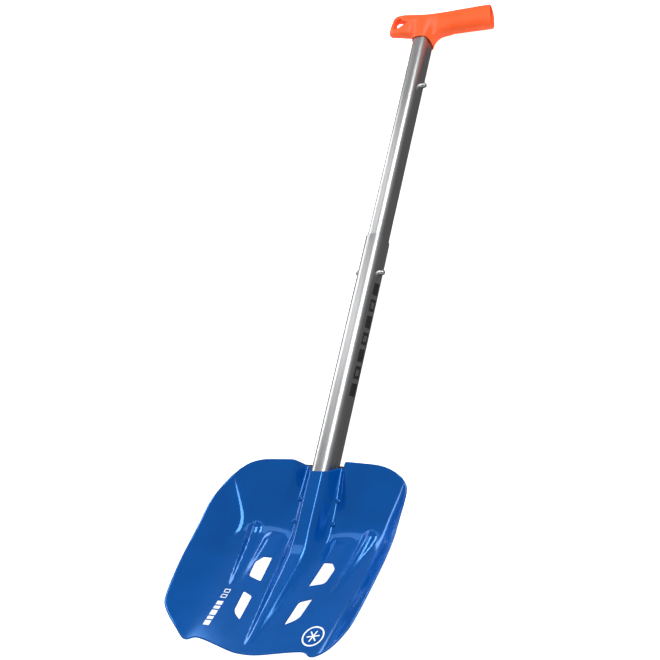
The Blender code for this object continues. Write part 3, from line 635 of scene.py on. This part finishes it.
def even_curve(points, count):
    """count + 1 points evenly along a smooth curve through points in millimetres."""
    fine = []
    last = len(points) - 1
    for k in range(last):
        p0, p1, p2, p3 = (np.array(points[min(max(k + d, 0), last)], float) for d in (-1, 0, 1, 2))
        for t in np.arange(16) / 16:
            fine.append(0.5 * (2 * p1 + (p2 - p0) * t + (2 * p0 - 5 * p1 + 4 * p2 - p3) * t * t
                               + (3 * p1 - p0 - 3 * p2 + p3) * t ** 3))
    fine = np.array(fine + [np.array(points[last], float)])
    lengths = np.concatenate([[0], np.cumsum(np.linalg.norm(np.diff(fine, axis=0), axis=1))])
    targets = np.linspace(0, lengths[-1], count + 1)
    return np.stack([np.interp(targets, lengths, fine[:, axis]) for axis in (0, 1)], axis=1) * MM


def blade_grid(rows, columns, inset):
    """(rows + 1, 2 columns + 1, 2) flat points that fill the outline, a little inside it."""
    samples = 240
    top, bottom = even_curve(OUTLINE_TOP, samples), even_curve(OUTLINE_BOTTOM, samples)
    side = even_curve(OUTLINE_SIDE, rows)
    split, share = 0.4, int(columns * 0.5)
    u = np.concatenate([np.linspace(0, split, share, endpoint=False),
                        np.linspace(split, 1, columns - share + 1)])
    place = np.linspace(0, 1, samples + 1)
    low = np.stack([np.interp(u, place, top[:, axis]) for axis in (0, 1)], axis=1)
    high = np.stack([np.interp(u, place, bottom[:, axis]) for axis in (0, 1)], axis=1)
    v = np.linspace(0, 1, rows + 1)[:, None, None]
    u = u[None, :, None]
    centre = top[0] + (bottom[0] - top[0]) * v
    corners = (top[0] * (1 - u) + top[-1] * u) * (1 - v) + (bottom[0] * (1 - u) + bottom[-1] * u) * v
    half = low * (1 - v) + high * v + centre * (1 - u) + side[:, None, :] * u - corners
    middle = np.array([0.0, 0.5 * (top[0][1] + bottom[0][1])])
    half = middle + (half - middle) * (1 - inset / BLADE_HALF_SIZE)
    mirrored = half[:, :0:-1, :] * np.array([-1, 1])
    return np.concatenate([mirrored, half], axis=1)


def blade_blank(rows, columns, sheet):
    """The blank before pressing: two skins and a rounded rim, flat."""
    bm = bmesh.new()
    grid = blade_grid(rows, columns, sheet / 2)
    n_rows, n_columns = grid.shape[:2]
    skins = [[[bm.verts.new((x, -down, -depth)) for x, down in row] for row in grid]
             for depth in (0.0, sheet)]
    front, back = skins
    for r in range(n_rows - 1):
        for c in range(n_columns - 1):
            bm.faces.new((front[r][c], front[r + 1][c], front[r + 1][c + 1], front[r][c + 1]))
            bm.faces.new((back[r][c], back[r][c + 1], back[r + 1][c + 1], back[r + 1][c]))
    rim = [(0, c) for c in range(n_columns - 1)] + [(r, n_columns - 1) for r in range(n_rows - 1)]
    rim += [(n_rows - 1, c) for c in range(n_columns - 1, 0, -1)] + [(r, 0) for r in range(n_rows - 1, 0, -1)]
    flat = np.array([grid[r, c] * np.array([1, -1]) for r, c in rim])
    tangent = np.roll(flat, -1, axis=0) - np.roll(flat, 1, axis=0)
    outward = np.stack([-tangent[:, 1], tangent[:, 0]], axis=1)
    outward /= np.linalg.norm(outward, axis=1, keepdims=True)
    if np.sum(outward * (flat - flat.mean(axis=0))) < 0:
        outward = -outward
    half, steps = sheet / 2, 5
    loops = [[front[r][c] for r, c in rim]]
    for k in range(1, steps):
        angle = math.pi * k / steps
        ring = flat + outward * half * math.sin(angle)
        loops.append([bm.verts.new((x, y, -half + half * math.cos(angle))) for x, y in ring])
    loops.append([back[r][c] for r, c in rim])
    for first, second in zip(loops, loops[1:]):
        for i in range(len(first)):
            j = (i + 1) % len(first)
            bm.faces.new((first[i], first[j], second[j], second[i]))
    bmesh.ops.recalc_face_normals(bm, faces=bm.faces)
    return bm


def rounded(corners, radius, steps=5):
    """Corners in millimetres, each replaced by a short curve."""
    points = []
    count = len(corners)
    for i, corner in enumerate(corners):
        here = Vector(corner)
        before, after = Vector(corners[i - 1]) - here, Vector(corners[(i + 1) % count]) - here
        before *= min(radius / before.length, 0.48)
        after *= min(radius / after.length, 0.48)
        for s in range(steps + 1):
            t = s / steps
            curve = (here + before) * (1 - t) ** 2 + here * 2 * t * (1 - t) + (here + after) * t * t
            points.append(curve * MM)
    return points


def hole_cutter(name, outline, sheet):
    """A cutter with a broken edge at both faces of the sheet."""
    bm = bmesh.new()
    centre = sum(outline, Vector((0, 0))) / len(outline)
    loops = []
    for depth, grow in ((-3 * MM, 0.45), (0.0, 0.45), (0.2 * MM, 0.15), (0.5 * MM, 0.0),
                        (sheet - 0.5 * MM, 0.0), (sheet - 0.2 * MM, 0.15), (sheet, 0.45),
                        (sheet + 3 * MM, 0.45)):
        ring = [p + (p - centre).normalized() * grow * MM for p in outline]
        loops.append([(p.x, p.y, -depth) for p in ring])
    loft(bm, loops)
    return helper(name, bm)


class SHOVEL_OT_blade(bpy.types.Operator):
    """Press the blade from a flat blank with its holes cut"""
    bl_idname = "shovel.blade"
    bl_label = "Blade"

    def execute(self, context):
        settings = context.scene.shovel_blade
        sheet = settings.sheet
        blank = helper("blade_blank", blade_blank(settings.rows, settings.columns, sheet))
        cutters = []
        for hole in (UPPER_HOLE, LOWER_HOLE):
            for side in (1, -1):
                outline = [Vector((side * p.x, -p.y)) for p in rounded(hole, 2.0)]
                cutters.append(hole_cutter(f"hole_{len(cutters)}", outline, sheet))
        mesh = cut(blank, cutters)
        bm = bmesh.new()
        bm.from_mesh(mesh)
        bmesh.ops.triangulate(bm, faces=bm.faces)
        bm.to_mesh(mesh)
        bm.free()
        flat = np.empty(len(mesh.vertices) * 3)
        mesh.vertices.foreach_get("co", flat)
        flat = flat.reshape(-1, 3)
        flat_normals = np.array([polygon.normal for polygon in mesh.polygons])
        mesh.vertices.foreach_set("co", press(flat).ravel())
        mesh.shade_smooth()
        mesh.set_sharp_from_angle(angle=math.radians(50))
        normals = blade_normals(flat[:, 0], -flat[:, 1])
        custom = np.zeros((len(mesh.loops), 3))
        for polygon, normal in zip(mesh.polygons, flat_normals):
            if abs(normal[2]) > 0.999:
                for loop in polygon.loop_indices:
                    custom[loop] = normals[mesh.loops[loop].vertex_index] * math.copysign(1.0, normal[2])
        mesh.normals_split_custom_set(custom.tolist())
        add_piece("blade_sheet", mesh, "anodised_blue", "blade", "blade", smooth_angle=None)
        return {"FINISHED"}


# ---------------------------------------------------------------- bracket and rivets

def cad_copy(node):
    """A merged copy of a CAD node's mesh."""
    bm = bmesh.new()
    bm.from_mesh(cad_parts[node].data)
    bmesh.ops.remove_doubles(bm, verts=bm.verts, dist=0.01 * MM)
    bmesh.ops.dissolve_limit(bm, angle_limit=math.radians(1.0), verts=bm.verts, edges=bm.edges)
    return bm


class SHOVEL_OT_bracket(bpy.types.Operator):
    """Round the edges of the socket bracket behind the blade"""
    bl_idname = "shovel.bracket"
    bl_label = "Socket Bracket"

    def execute(self, context):
        obj = helper("bracket_source", cad_copy("socket_bracket"))
        bevel = obj.modifiers.new("Edges", "BEVEL")
        bevel.width = 0.5 * MM
        bevel.segments = 3
        bevel.limit_method = "ANGLE"
        bevel.angle_limit = math.radians(35)
        mesh = evaluated(obj)
        bpy.data.objects.remove(obj, do_unlink=True)
        add_piece("bracket_moulding", mesh, "black_nylon", "blade", "socket_bracket")
        return {"FINISHED"}


class GeometryTree:
    """A geometry node group, made by one method."""

    def __init__(self, name, inputs):
        self.group = bpy.data.node_groups.new(name, "GeometryNodeTree")
        interface = self.group.interface
        interface.new_socket("Geometry", in_out="INPUT", socket_type="NodeSocketGeometry")
        for label, kind, value in inputs:
            item = interface.new_socket(label, in_out="INPUT", socket_type=kind)
            if value is not None:
                item.default_value = value
        interface.new_socket("Geometry", in_out="OUTPUT", socket_type="NodeSocketGeometry")
        self.input = self.group.nodes.new("NodeGroupInput")
        self.output = self.group.nodes.new("NodeGroupOutput")

    def node(self, kind, settings=None, inputs=None, output=0):
        node = self.group.nodes.new(kind)
        for key, value in (settings or {}).items():
            setattr(node, key, value)
        for key, value in (inputs or {}).items():
            if isinstance(value, bpy.types.NodeSocket):
                self.group.links.new(value, node.inputs[key])
            else:
                node.inputs[key].default_value = value
        return node.outputs[output]

    def value(self, label):
        return self.input.outputs[label]

    def finish(self, geometry, finish):
        """Ends the tree in real geometry with its material."""
        real = self.node("GeometryNodeRealizeInstances", {}, {0: geometry})
        dressed = self.node("GeometryNodeSetMaterial", {}, {"Geometry": real, "Material": material(finish)})
        self.group.links.new(dressed, self.output.inputs[0])
        return self.group

    def run(self, mesh, values):
        """The tree applied to a mesh, as a plain mesh."""
        obj = bpy.data.objects.new("source", mesh)
        bpy.context.scene.collection.objects.link(obj)
        modifier = obj.modifiers.new("Nodes", "NODES")
        modifier.node_group = self.group
        for item in self.group.interface.items_tree:
            if item.item_type == "SOCKET" and item.in_out == "INPUT" and item.name in values:
                modifier[item.identifier] = values[item.name]
        result = evaluated(obj)
        bpy.data.objects.remove(obj, do_unlink=True)
        return result


def points_mesh(points):
    mesh = bpy.data.meshes.new("points")
    mesh.from_pydata([tuple(p) for p in points], [], [])
    return mesh


def fastener_tree(finish):
    """One fastener on each point of the source mesh."""
    tree = GeometryTree("fasteners", [("Scale", "NodeSocketFloat", 1.0),
                                      ("Fastener", "NodeSocketObject", None)])
    shape = tree.node("GeometryNodeObjectInfo", {"transform_space": "ORIGINAL"},
                      {"Object": tree.value("Fastener")}, output="Geometry")
    spread = tree.node("GeometryNodeInstanceOnPoints", {},
                       {"Points": tree.value("Geometry"), "Instance": shape, "Scale": tree.value("Scale")})
    tree.finish(spread, finish)
    return tree


def fasteners(name, profile, points, finish, body, nodes):
    """Like turned fasteners on the given points, as one piece."""
    template = helper(name + "_template", turned(profile, (0, 0, 0), (0, 0, 1), 40))
    template.data.shade_smooth()
    tree = fastener_tree(finish)
    mesh = tree.run(points_mesh(points), {"Fastener": template, "Scale": 1.0})
    bpy.data.objects.remove(template, do_unlink=True)
    return add_piece(name, mesh, finish, body, nodes, smooth_angle=32)


RIVET_SHANK = 2.0 * MM
BRACKET_TAIL = 1.6 * MM
BRACKET_SEAT = 1.4 * MM
GRIP_RIVET_HEAD = 1.0 * MM
GRIP_RIVET_TAIL = 1.6 * MM


def dome(radius, height, edge, base, steps=5):
    """Profile points of a low round head from its edge up to the axis."""
    points = []
    for k in range(steps):
        angle = math.pi / 2 * k / steps
        points.append((radius * math.cos(angle), base + edge + height * math.sin(angle)))
    return points + [(0, base + edge + height)]


def rivet_places(nodes):
    """Each rivet's middle, and how far the first one reaches below and above its own."""
    points = [[(a + b) / 2 for a, b in zip(*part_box(node))] for node in nodes]
    low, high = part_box(nodes[0])
    return points, low[2] - points[0][2], high[2] - points[0][2]


class SHOVEL_OT_rivets(bpy.types.Operator):
    """Rivets of the bracket and of the grip's neck"""
    bl_idname = "shovel.rivets"
    bl_label = "Rivets"

    def execute(self, context):
        for pair in ((1, 2), (3, 4)):
            nodes = [f"bracket_rivet_{number}" for number in pair]
            points, low, high = rivet_places(nodes)
            tail, seat = low + BRACKET_TAIL, high - BRACKET_SEAT
            profile = [(0, low), (1.9 * MM, low), (2.7 * MM, low + 0.3 * MM), (3.0 * MM, low + 0.8 * MM),
                       (3.0 * MM, tail), (RIVET_SHANK, tail), (RIVET_SHANK, seat), (2.75 * MM, seat)]
            profile += dome(2.8 * MM, 0.4 * MM, 0.1 * MM, seat)
            fasteners(f"bracket_rivets_{pair[0]}", profile, points, "anodised_blue", "blade", nodes)
        nodes = ["grip_rivet_1", "grip_rivet_2"]
        points, low, high = rivet_places(nodes)
        face, tail = low + GRIP_RIVET_HEAD, high - GRIP_RIVET_TAIL
        crown = dome(3.2 * MM, 0.85 * MM, 0.12 * MM, 0.0)
        profile = [(radius, face - height) for radius, height in crown[::-1]]
        profile += [(RIVET_SHANK, face), (RIVET_SHANK, tail), (2.9 * MM, tail), (2.6 * MM, high), (0, high)]
        fasteners("grip_rivets", profile, points, "bright_steel", "upper_shaft", nodes)
        return {"FINISHED"}


# ---------------------------------------------------------------- shaft

LOWER_WALL = 1.1 * MM
UPPER_WALL = 1.0 * MM
DRILL_RADIUS = 3.8 * MM
THROUGH_BOTH = 40 * MM
THROUGH_ONE = 10 * MM


def tube_mesh(name, low, high, wall, holes):
    """An oval tube with rounded rims and drilled holes; holes are (origin, axis, length)."""
    settings = bpy.context.scene.shovel_shaft
    half_x, half_z = (high[0] - low[0]) / 2, (high[2] - low[2]) / 2
    start, end = low[1], high[1]
    soft = wall * 0.45
    profile = []
    for at, way in ((end, 1), (start, -1)):
        rim = []
        for k in range(7):
            angle = math.pi * k / 6
            rim.append((wall / 2 - wall / 2 * math.cos(angle),
                        at - way * soft + way * soft * math.sin(angle)))
        profile += rim if way > 0 else rim[::-1]
    bm = bmesh.new()
    loops = [oval(half_x - inset, half_z - inset, y, settings.power, settings.points) for inset, y in profile]
    loft(bm, loops, closed=True)
    obj = helper(name + "_source", bm)
    return cut(obj, [drill(f"{name}_drill_{k}", *hole) for k, hole in enumerate(holes)])


class SHOVEL_OT_shaft(bpy.types.Operator):
    """Both oval tubes, drilled for their buttons"""
    bl_idname = "shovel.shaft"
    bl_label = "Shaft Tubes"

    def execute(self, context):
        extension = ((0, EXTENSION_Y, SHAFT_HEIGHT), (1, 0, 0), THROUGH_BOTH)
        lock = ((0, LOCK_Y, TUBE_LOW[2]), (0, 0, 1), THROUGH_ONE)
        stow = ((UPPER_HIGH[0], STOW_Y, SHAFT_HEIGHT), (1, 0, 0), THROUGH_ONE)
        lower = tube_mesh("lower", TUBE_LOW, TUBE_HIGH, LOWER_WALL, [extension, lock])
        upper = tube_mesh("upper", UPPER_LOW, UPPER_HIGH, UPPER_WALL, [extension, stow])
        add_piece("lower_tube_brushed", lower, "brushed_aluminium", "lower_shaft", "lower_tube", 30)
        add_piece("upper_tube_brushed", upper, "brushed_aluminium", "upper_shaft", "upper_tube", 30)
        return {"FINISHED"}


def button_profile(base, tip):
    """A stepped snap pin with rounded edges, from its flange to its face, along its axis."""
    profile = [(0, base), (4.5 * MM, base), (4.8 * MM, base + 0.25 * MM), (4.8 * MM, base + 0.85 * MM),
               (4.55 * MM, base + 1.1 * MM), (3.5 * MM, base + 1.1 * MM), (3.5 * MM, tip - 2.9 * MM)]
    for k in range(5):
        angle = math.pi / 2 * k / 4
        profile.append((3.0 * MM + 0.5 * MM * math.cos(angle), tip - 2.7 * MM + 0.4 * MM * math.sin(angle)))
    profile.append((2.9 * MM, tip - 2.2 * MM))
    for k in range(6):
        angle = math.pi / 2 * k / 5
        profile.append((2.1 * MM + 0.8 * MM * math.cos(angle), tip - 0.8 * MM + 0.8 * MM * math.sin(angle)))
    return profile + [(0, tip)]


class SHOVEL_OT_buttons(bpy.types.Operator):
    """The four snap buttons"""
    bl_idname = "shovel.buttons"
    bl_label = "Snap Buttons"

    def execute(self, context):
        ways = {"extension_button_right": (1, 0, 0), "extension_button_left": (-1, 0, 0),
                "stow_button": (1, 0, 0), "blade_lock_button": (0, 0, -1)}
        for node, way in ways.items():
            low, high = (Vector(corner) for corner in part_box(node))
            origin = Vector((0, (low.y + high.y) / 2, SHAFT_HEIGHT))
            reach = sorted(abs((corner - origin).dot(Vector(way))) for corner in (low, high))
            mesh = mesh_from(turned(button_profile(*reach), origin, way, 48), node)
            add_piece(node + "_pin", mesh, "bright_steel", node, node, 35)
        return {"FINISHED"}


class SHOVEL_OT_inner_parts(bpy.types.Operator):
    """Finishes for the clips, cap and glide ring inside the shaft"""
    bl_idname = "shovel.inner_parts"
    bl_label = "Clips and Plugs"

    def execute(self, context):
        finishes = {"extension_spring": "bright_steel", "stow_spring": "bright_steel",
                    "blade_lock_spring": "bright_steel", "shaft_foot_cap": "black_nylon",
                    "upper_tube_glide": "black_nylon"}
        for node, finish in finishes.items():
            mesh = mesh_from(cad_copy(node), node)
            body = "lower_shaft" if node in ("blade_lock_spring", "shaft_foot_cap") else "upper_shaft"
            add_piece(node + "_finished", mesh, finish, body, node, 30)
        return {"FINISHED"}


# ---------------------------------------------------------------- grip

# Stations of the arms along X, in millimetres: (x, centre y from the arm line, half y, half z, squareness).
GRIP_STATIONS = [(-54, 5.6, 17.4, 4.8, 3.6), (-46, 5.4, 17.6, 5.8, 3.6), (-34, 4.4, 17.6, 7.6, 3.4),
                 (-18, 1.4, 17.2, 9.6, 3.0), (0, -0.8, 16.8, 10.8, 2.6), (18, -1.0, 16.9, 11.0, 2.4),
                 (40, -0.4, 17.3, 11.3, 2.3), (66, 0, 17.6, 11.6, 2.3), (95, 0.1, 17.8, 11.8, 2.3)]
GRIP_LEFT_X = -52.8 * MM
GRIP_LEFT_LEAN = 0.1
GRIP_END_X = 91.0 * MM
GRIP_END_LEAN = -0.186
GRIP_END_SHEAR = 0.05
GRIP_SHELL = 3.0 * MM
GRIP_HOLLOW_X = 26.0 * MM
NECK_HALF_X = 13.0 * MM
NECK_HALF_Z = 16.6 * MM
NECK_FLARE = (4 * MM, 26 * MM)
NECK_POWER = 2.8
SOCKET_HALF_X = 11.4 * MM
SOCKET_HALF_Z = 14.9 * MM
SOCKET_DEPTH = 2.1 * MM
GUSSET_CENTRE = (36 * MM, -37.5 * MM)
GUSSET_RADIUS = 22.5 * MM
GUSSET_HALF_Z = 7 * MM
EYELET_X = -41.0 * MM
EYELET_Y = 6.0 * MM
EYELET_STRAIGHT = (1.6 * MM, 3.9 * MM)
EYELET_RADIUS = 3.3 * MM
DISH_RUN = 16 * MM


def soft_union(a, b, size):
    mixed = np.clip(0.5 + 0.5 * (b - a) / size, 0.0, 1.0)
    return b + (a - b) * mixed - size * mixed * (1.0 - mixed)


def bar(y, z, half_y, half_z, power):
    """Distance-like value for an oval bar along X."""
    reach = (np.abs(y / half_y) ** power + np.abs(z / half_z) ** power) ** (1 / power)
    return (reach - 1.0) * np.minimum(half_y, half_z)


def grip_field(x, y, z, fillet):
    """Negative inside the grip. y is from the arm line and z from the shaft axis."""
    stations = np.array(GRIP_STATIONS) * [MM, MM, MM, MM, 1.0]
    centre, half_y, half_z, power = (np.interp(x, stations[:, 0], stations[:, k]) for k in (1, 2, 3, 4))
    arms = bar(y - centre, z, half_y, half_z, power)
    left = (GRIP_LEFT_X + (y - centre) * GRIP_LEFT_LEAN - x) * 0.98
    arms = smooth_max(arms, left, 3 * MM)
    arms = smooth_max(arms, x - y * GRIP_END_LEAN - z * GRIP_END_SHEAR - GRIP_END_X, 0.8 * MM)
    rise = y - GRIP_NECK_Y + ARM_Y
    neck_x = NECK_HALF_X + 2.2 * MM * smooth_step(*NECK_FLARE, rise)
    neck_z = NECK_HALF_Z + 0.8 * MM * smooth_step(*NECK_FLARE, rise)
    neck = bar(x, z, neck_x, neck_z, NECK_POWER)
    neck = smooth_max(neck, np.maximum(-rise, y - 2 * MM), 0.8 * MM)
    solid = soft_union(arms, neck, fillet)
    gusset = np.hypot(x - GUSSET_CENTRE[0], y - GUSSET_CENTRE[1]) - GUSSET_RADIUS
    gusset = np.maximum(-gusset, np.maximum(x - 34 * MM, -y - 30 * MM))
    gusset = smooth_max(gusset, np.maximum(8 * MM - x, y + 8 * MM), 1 * MM)
    gusset = smooth_max(gusset, np.abs(z) - GUSSET_HALF_Z, 3 * MM)
    solid = soft_union(solid, gusset, 5 * MM)
    socket = np.maximum(bar(x, z, SOCKET_HALF_X, SOCKET_HALF_Z, NECK_POWER), y + SOCKET_DEPTH)
    solid = smooth_max(solid, -socket, 0.4 * MM)
    hollow = bar(y, z, 17.5 * MM - GRIP_SHELL, 11.5 * MM - GRIP_SHELL, 2.2)
    hollow = smooth_max(hollow, GRIP_HOLLOW_X - x, 4 * MM)
    solid = smooth_max(solid, -hollow, 1.4 * MM)
    slot_x, slot_y = x - EYELET_X, y - EYELET_Y
    slot = np.hypot(np.maximum(np.abs(slot_x) - EYELET_STRAIGHT[0], 0),
                    np.maximum(np.abs(slot_y) - EYELET_STRAIGHT[1], 0)) - EYELET_RADIUS
    solid = smooth_max(solid, -slot, 1.2 * MM)
    run = np.clip(slot_x / DISH_RUN, 0, 1)
    wide = np.hypot(np.maximum(-slot_x, 0) + np.maximum(slot_x - DISH_RUN, 0),
                    np.maximum(np.abs(slot_y + 2.5 * MM * run) - 4.0 * MM * (1 - run) ** 0.8, 0)) - 1.0 * MM
    deep = (-1.5 * MM + 8 * MM * run) - z
    return smooth_max(solid, -smooth_max(wide, deep, 1.5 * MM), 1.2 * MM)


def surface_net(field, low, cell):
    """A closed quad mesh on the field's zero level."""
    inside_now = field < 0
    edges = []
    shape = np.array(field.shape)
    total = np.zeros((*(shape - 1), 3))
    count = np.zeros(shape - 1)
    for axis in range(3):
        a = np.moveaxis(field, axis, 0)
        first, second = a[:-1], a[1:]
        crosses = (first < 0) != (second < 0)
        part = np.where(crosses, first / np.where(crosses, first - second, 1.0), 0.0)
        crosses, part = np.moveaxis(crosses, 0, axis), np.moveaxis(part, 0, axis)
        edges.append(crosses)
        others = [k for k in range(3) if k != axis]
        for d0 in (0, 1):
            for d1 in (0, 1):
                window = [slice(None)] * 3
                window[others[0]] = slice(d0, shape[others[0]] - 1 + d0)
                window[others[1]] = slice(d1, shape[others[1]] - 1 + d1)
                hit, along = crosses[tuple(window)], part[tuple(window)]
                count += hit
                offset = np.zeros((*hit.shape, 3))
                offset[..., axis] = along
                offset[..., others[0]] = d0
                offset[..., others[1]] = d1
                total += offset * hit[..., None]
    used = count > 0
    index = np.full(used.shape, -1)
    index[used] = np.arange(used.sum())
    cells = np.argwhere(used)
    verts = (cells + total[used] / count[used][:, None]) * cell + low
    faces = []
    for axis in range(3):
        others = [k for k in range(3) if k != axis]
        places = np.argwhere(edges[axis])
        keep = (places[:, others[0]] > 0) & (places[:, others[1]] > 0)
        keep &= (places[:, others[0]] < shape[others[0]] - 1) & (places[:, others[1]] < shape[others[1]] - 1)
        places = places[keep]
        corners = []
        for d0, d1 in ((0, 0), (1, 0), (1, 1), (0, 1)):
            spot = places.copy()
            spot[:, others[0]] -= d0
            spot[:, others[1]] -= d1
            corners.append(index[tuple(spot.T)])
        quads = np.stack(corners, axis=1)
        flip = inside_now[tuple(places.T)]
        if axis == 1:
            flip = ~flip
        quads[flip] = quads[flip][:, ::-1]
        faces.append(quads)
    return verts, np.concatenate(faces)


class SHOVEL_OT_grip(bpy.types.Operator):
    """The hollow one-sided grip with its eyelet"""
    bl_idname = "shovel.grip"
    bl_label = "Grip"

    def execute(self, context):
        settings = context.scene.shovel_grip
        cell = settings.cell * 1
        low = np.array([GRIP_LOW[0] - 3 * MM, GRIP_LOW[1] - 3 * MM, SHAFT_HEIGHT - 21 * MM])
        high = np.array([GRIP_HIGH[0] + 6 * MM, GRIP_HIGH[1] + 4 * MM, SHAFT_HEIGHT + 21 * MM])
        size = np.ceil((high - low) / cell).astype(int)
        axes = [low[k] + cell * np.arange(size[k]) for k in range(3)]
        x, y, z = np.meshgrid(*axes, indexing="ij")
        field = grip_field(x, y - ARM_Y, z - SHAFT_HEIGHT, settings.fillet)
        verts, faces = surface_net(field, low, cell)
        mesh = bpy.data.meshes.new("grip")
        mesh.from_pydata(verts.tolist(), [], faces.tolist())
        obj = bpy.data.objects.new("grip_source", mesh)
        context.scene.collection.objects.link(obj)
        smooth = obj.modifiers.new("Relax", "SMOOTH")
        smooth.factor = 0.5
        smooth.iterations = 3
        result = evaluated(obj)
        bpy.data.objects.remove(obj, do_unlink=True)
        add_piece("grip_moulding", result, "grip_orange", "upper_shaft", "grip_handle", 60)
        return {"FINISHED"}


# ---------------------------------------------------------------- stage

# Soft boxes: (name, place, (size across, size along the shaft), power).
SOFT_BOXES = [("high_softbox", (0.62, 1.0, 1.75), (0.8, 1.7), 36),
              ("left_softbox", (-1.7, 0.9, 0.8), (0.6, 1.7), 15),
              ("tube_wash", (-0.95, 1.2, 1.6), (0.9, 0.8), 3.2),
              ("front_wash", (0.7, -2.0, 1.0), (1.2, 1.2), 8)]
LIGHT_TARGET_Y = 0.21
CAMERA_TARGET = (-0.036, 0.213, 0.02)


def area_light(name, place, target, size, power):
    """A soft box that faces target, with its long side along the shaft."""
    data = bpy.data.lights.new(name, "AREA")
    data.shape = "RECTANGLE"
    data.size, data.size_y = size
    data.energy = power
    light = bpy.data.objects.new(name, data)
    toward = (Vector(place) - Vector(target)).normalized()
    across = Vector((0, 1, 0)).cross(toward).normalized()
    turn = Matrix((across, toward.cross(across), toward)).transposed()
    light.matrix_world = Matrix.Translation(place) @ turn.to_4x4()
    bpy.context.scene.collection.objects.link(light)


class SHOVEL_OT_stage(bpy.types.Operator):
    """Pale floor, soft studio light and the camera"""
    bl_idname = "shovel.stage"
    bl_label = "Stage"

    def execute(self, context):
        scene = context.scene
        settings = scene.shovel_stage
        bm = bmesh.new()
        bmesh.ops.create_grid(bm, x_segments=8, y_segments=8, size=4.0)
        floor = helper("floor", bm)
        floor.location.z = -0.2 * MM
        floor.data.materials.append(material("studio_floor"))
        floor.visible_glossy = False
        self.world(scene)
        middle = Vector(((TUBE_LOW[0] + TUBE_HIGH[0]) / 2, LIGHT_TARGET_Y, SHAFT_HEIGHT))
        for name, place, size, power in SOFT_BOXES:
            area_light(name, place, middle, size, power)
        target = Vector(CAMERA_TARGET)
        azimuth, elevation = settings.azimuth, settings.elevation
        back = Vector((math.sin(azimuth) * math.cos(elevation), -math.cos(azimuth) * math.cos(elevation),
                       math.sin(elevation)))
        right = Vector((math.cos(azimuth), math.sin(azimuth), 0))
        turn = Matrix.Rotation(settings.roll, 3, back)
        right = turn @ right
        up = back.cross(right)
        rotation = Matrix((right, up, back)).transposed().to_4x4()
        data = bpy.data.cameras.new("camera")
        data.lens = settings.lens
        data.sensor_width = 36.0
        data.clip_start = 0.05
        camera = bpy.data.objects.new("camera", data)
        camera.matrix_world = Matrix.Translation(target + back * settings.distance) @ rotation
        scene.collection.objects.link(camera)
        scene.camera = camera
        scene.view_settings.view_transform = "Standard"
        return {"FINISHED"}

    @staticmethod
    def world(scene):
        """Pale above the horizon, darker below it, where only reflections look."""
        world = bpy.data.worlds.new("studio")
        scene.world = world
        world.use_nodes = True
        nodes, links = world.node_tree.nodes, world.node_tree.links
        background = nodes["Background"]
        coordinates = nodes.new("ShaderNodeTexCoord")
        split = nodes.new("ShaderNodeSeparateXYZ")
        ramp = nodes.new("ShaderNodeValToRGB")
        shift = nodes.new("ShaderNodeMapRange")
        links.new(coordinates.outputs["Generated"], split.inputs[0])
        links.new(split.outputs["Z"], shift.inputs["Value"])
        shift.inputs["From Min"].default_value = -1.0
        links.new(shift.outputs[0], ramp.inputs[0])
        ramp.color_ramp.elements[0].position = 0.45
        ramp.color_ramp.elements[0].color = (0.14, 0.14, 0.14, 1)
        ramp.color_ramp.elements[1].position = 0.56
        ramp.color_ramp.elements[1].color = (0.3, 0.3, 0.305, 1)
        links.new(ramp.outputs[0], background.inputs["Color"])
        background.inputs["Strength"].default_value = 1.0


# ---------------------------------------------------------------- panel and run

OPERATORS = (SHOVEL_OT_blade, SHOVEL_OT_bracket, SHOVEL_OT_rivets, SHOVEL_OT_shaft, SHOVEL_OT_buttons,
             SHOVEL_OT_inner_parts, SHOVEL_OT_grip, SHOVEL_OT_stage)
GROUPS = (("shovel_blade", ShovelBlade), ("shovel_shaft", ShovelShaft), ("shovel_grip", ShovelGrip),
          ("shovel_stage", ShovelStage))


class SHOVEL_PT_panel(bpy.types.Panel):
    """Settings and steps of the shovel"""
    bl_label = "Avalanche Shovel"
    bl_idname = "SHOVEL_PT_panel"
    bl_space_type = "VIEW_3D"
    bl_region_type = "UI"
    bl_category = "Shovel"

    def draw(self, context):
        layout = self.layout
        for name, group in GROUPS:
            box = layout.box()
            for field in group.__annotations__:
                box.prop(getattr(context.scene, name), field)
        for operator in OPERATORS:
            layout.operator(operator.bl_idname)


def register():
    for name, group in GROUPS:
        bpy.utils.register_class(group)
        setattr(bpy.types.Scene, name, bpy.props.PointerProperty(type=group))
    for operator in OPERATORS:
        bpy.utils.register_class(operator)
    bpy.utils.register_class(SHOVEL_PT_panel)


def unregister():
    bpy.utils.unregister_class(SHOVEL_PT_panel)
    for operator in reversed(OPERATORS):
        bpy.utils.unregister_class(operator)
    for name, group in reversed(GROUPS):
        delattr(bpy.types.Scene, name)
        bpy.utils.unregister_class(group)


def main():
    register()
    for operator in OPERATORS:
        group, step = operator.bl_idname.split(".")
        getattr(getattr(bpy.ops, group), step)()


if __name__ == "__main__":
    main()
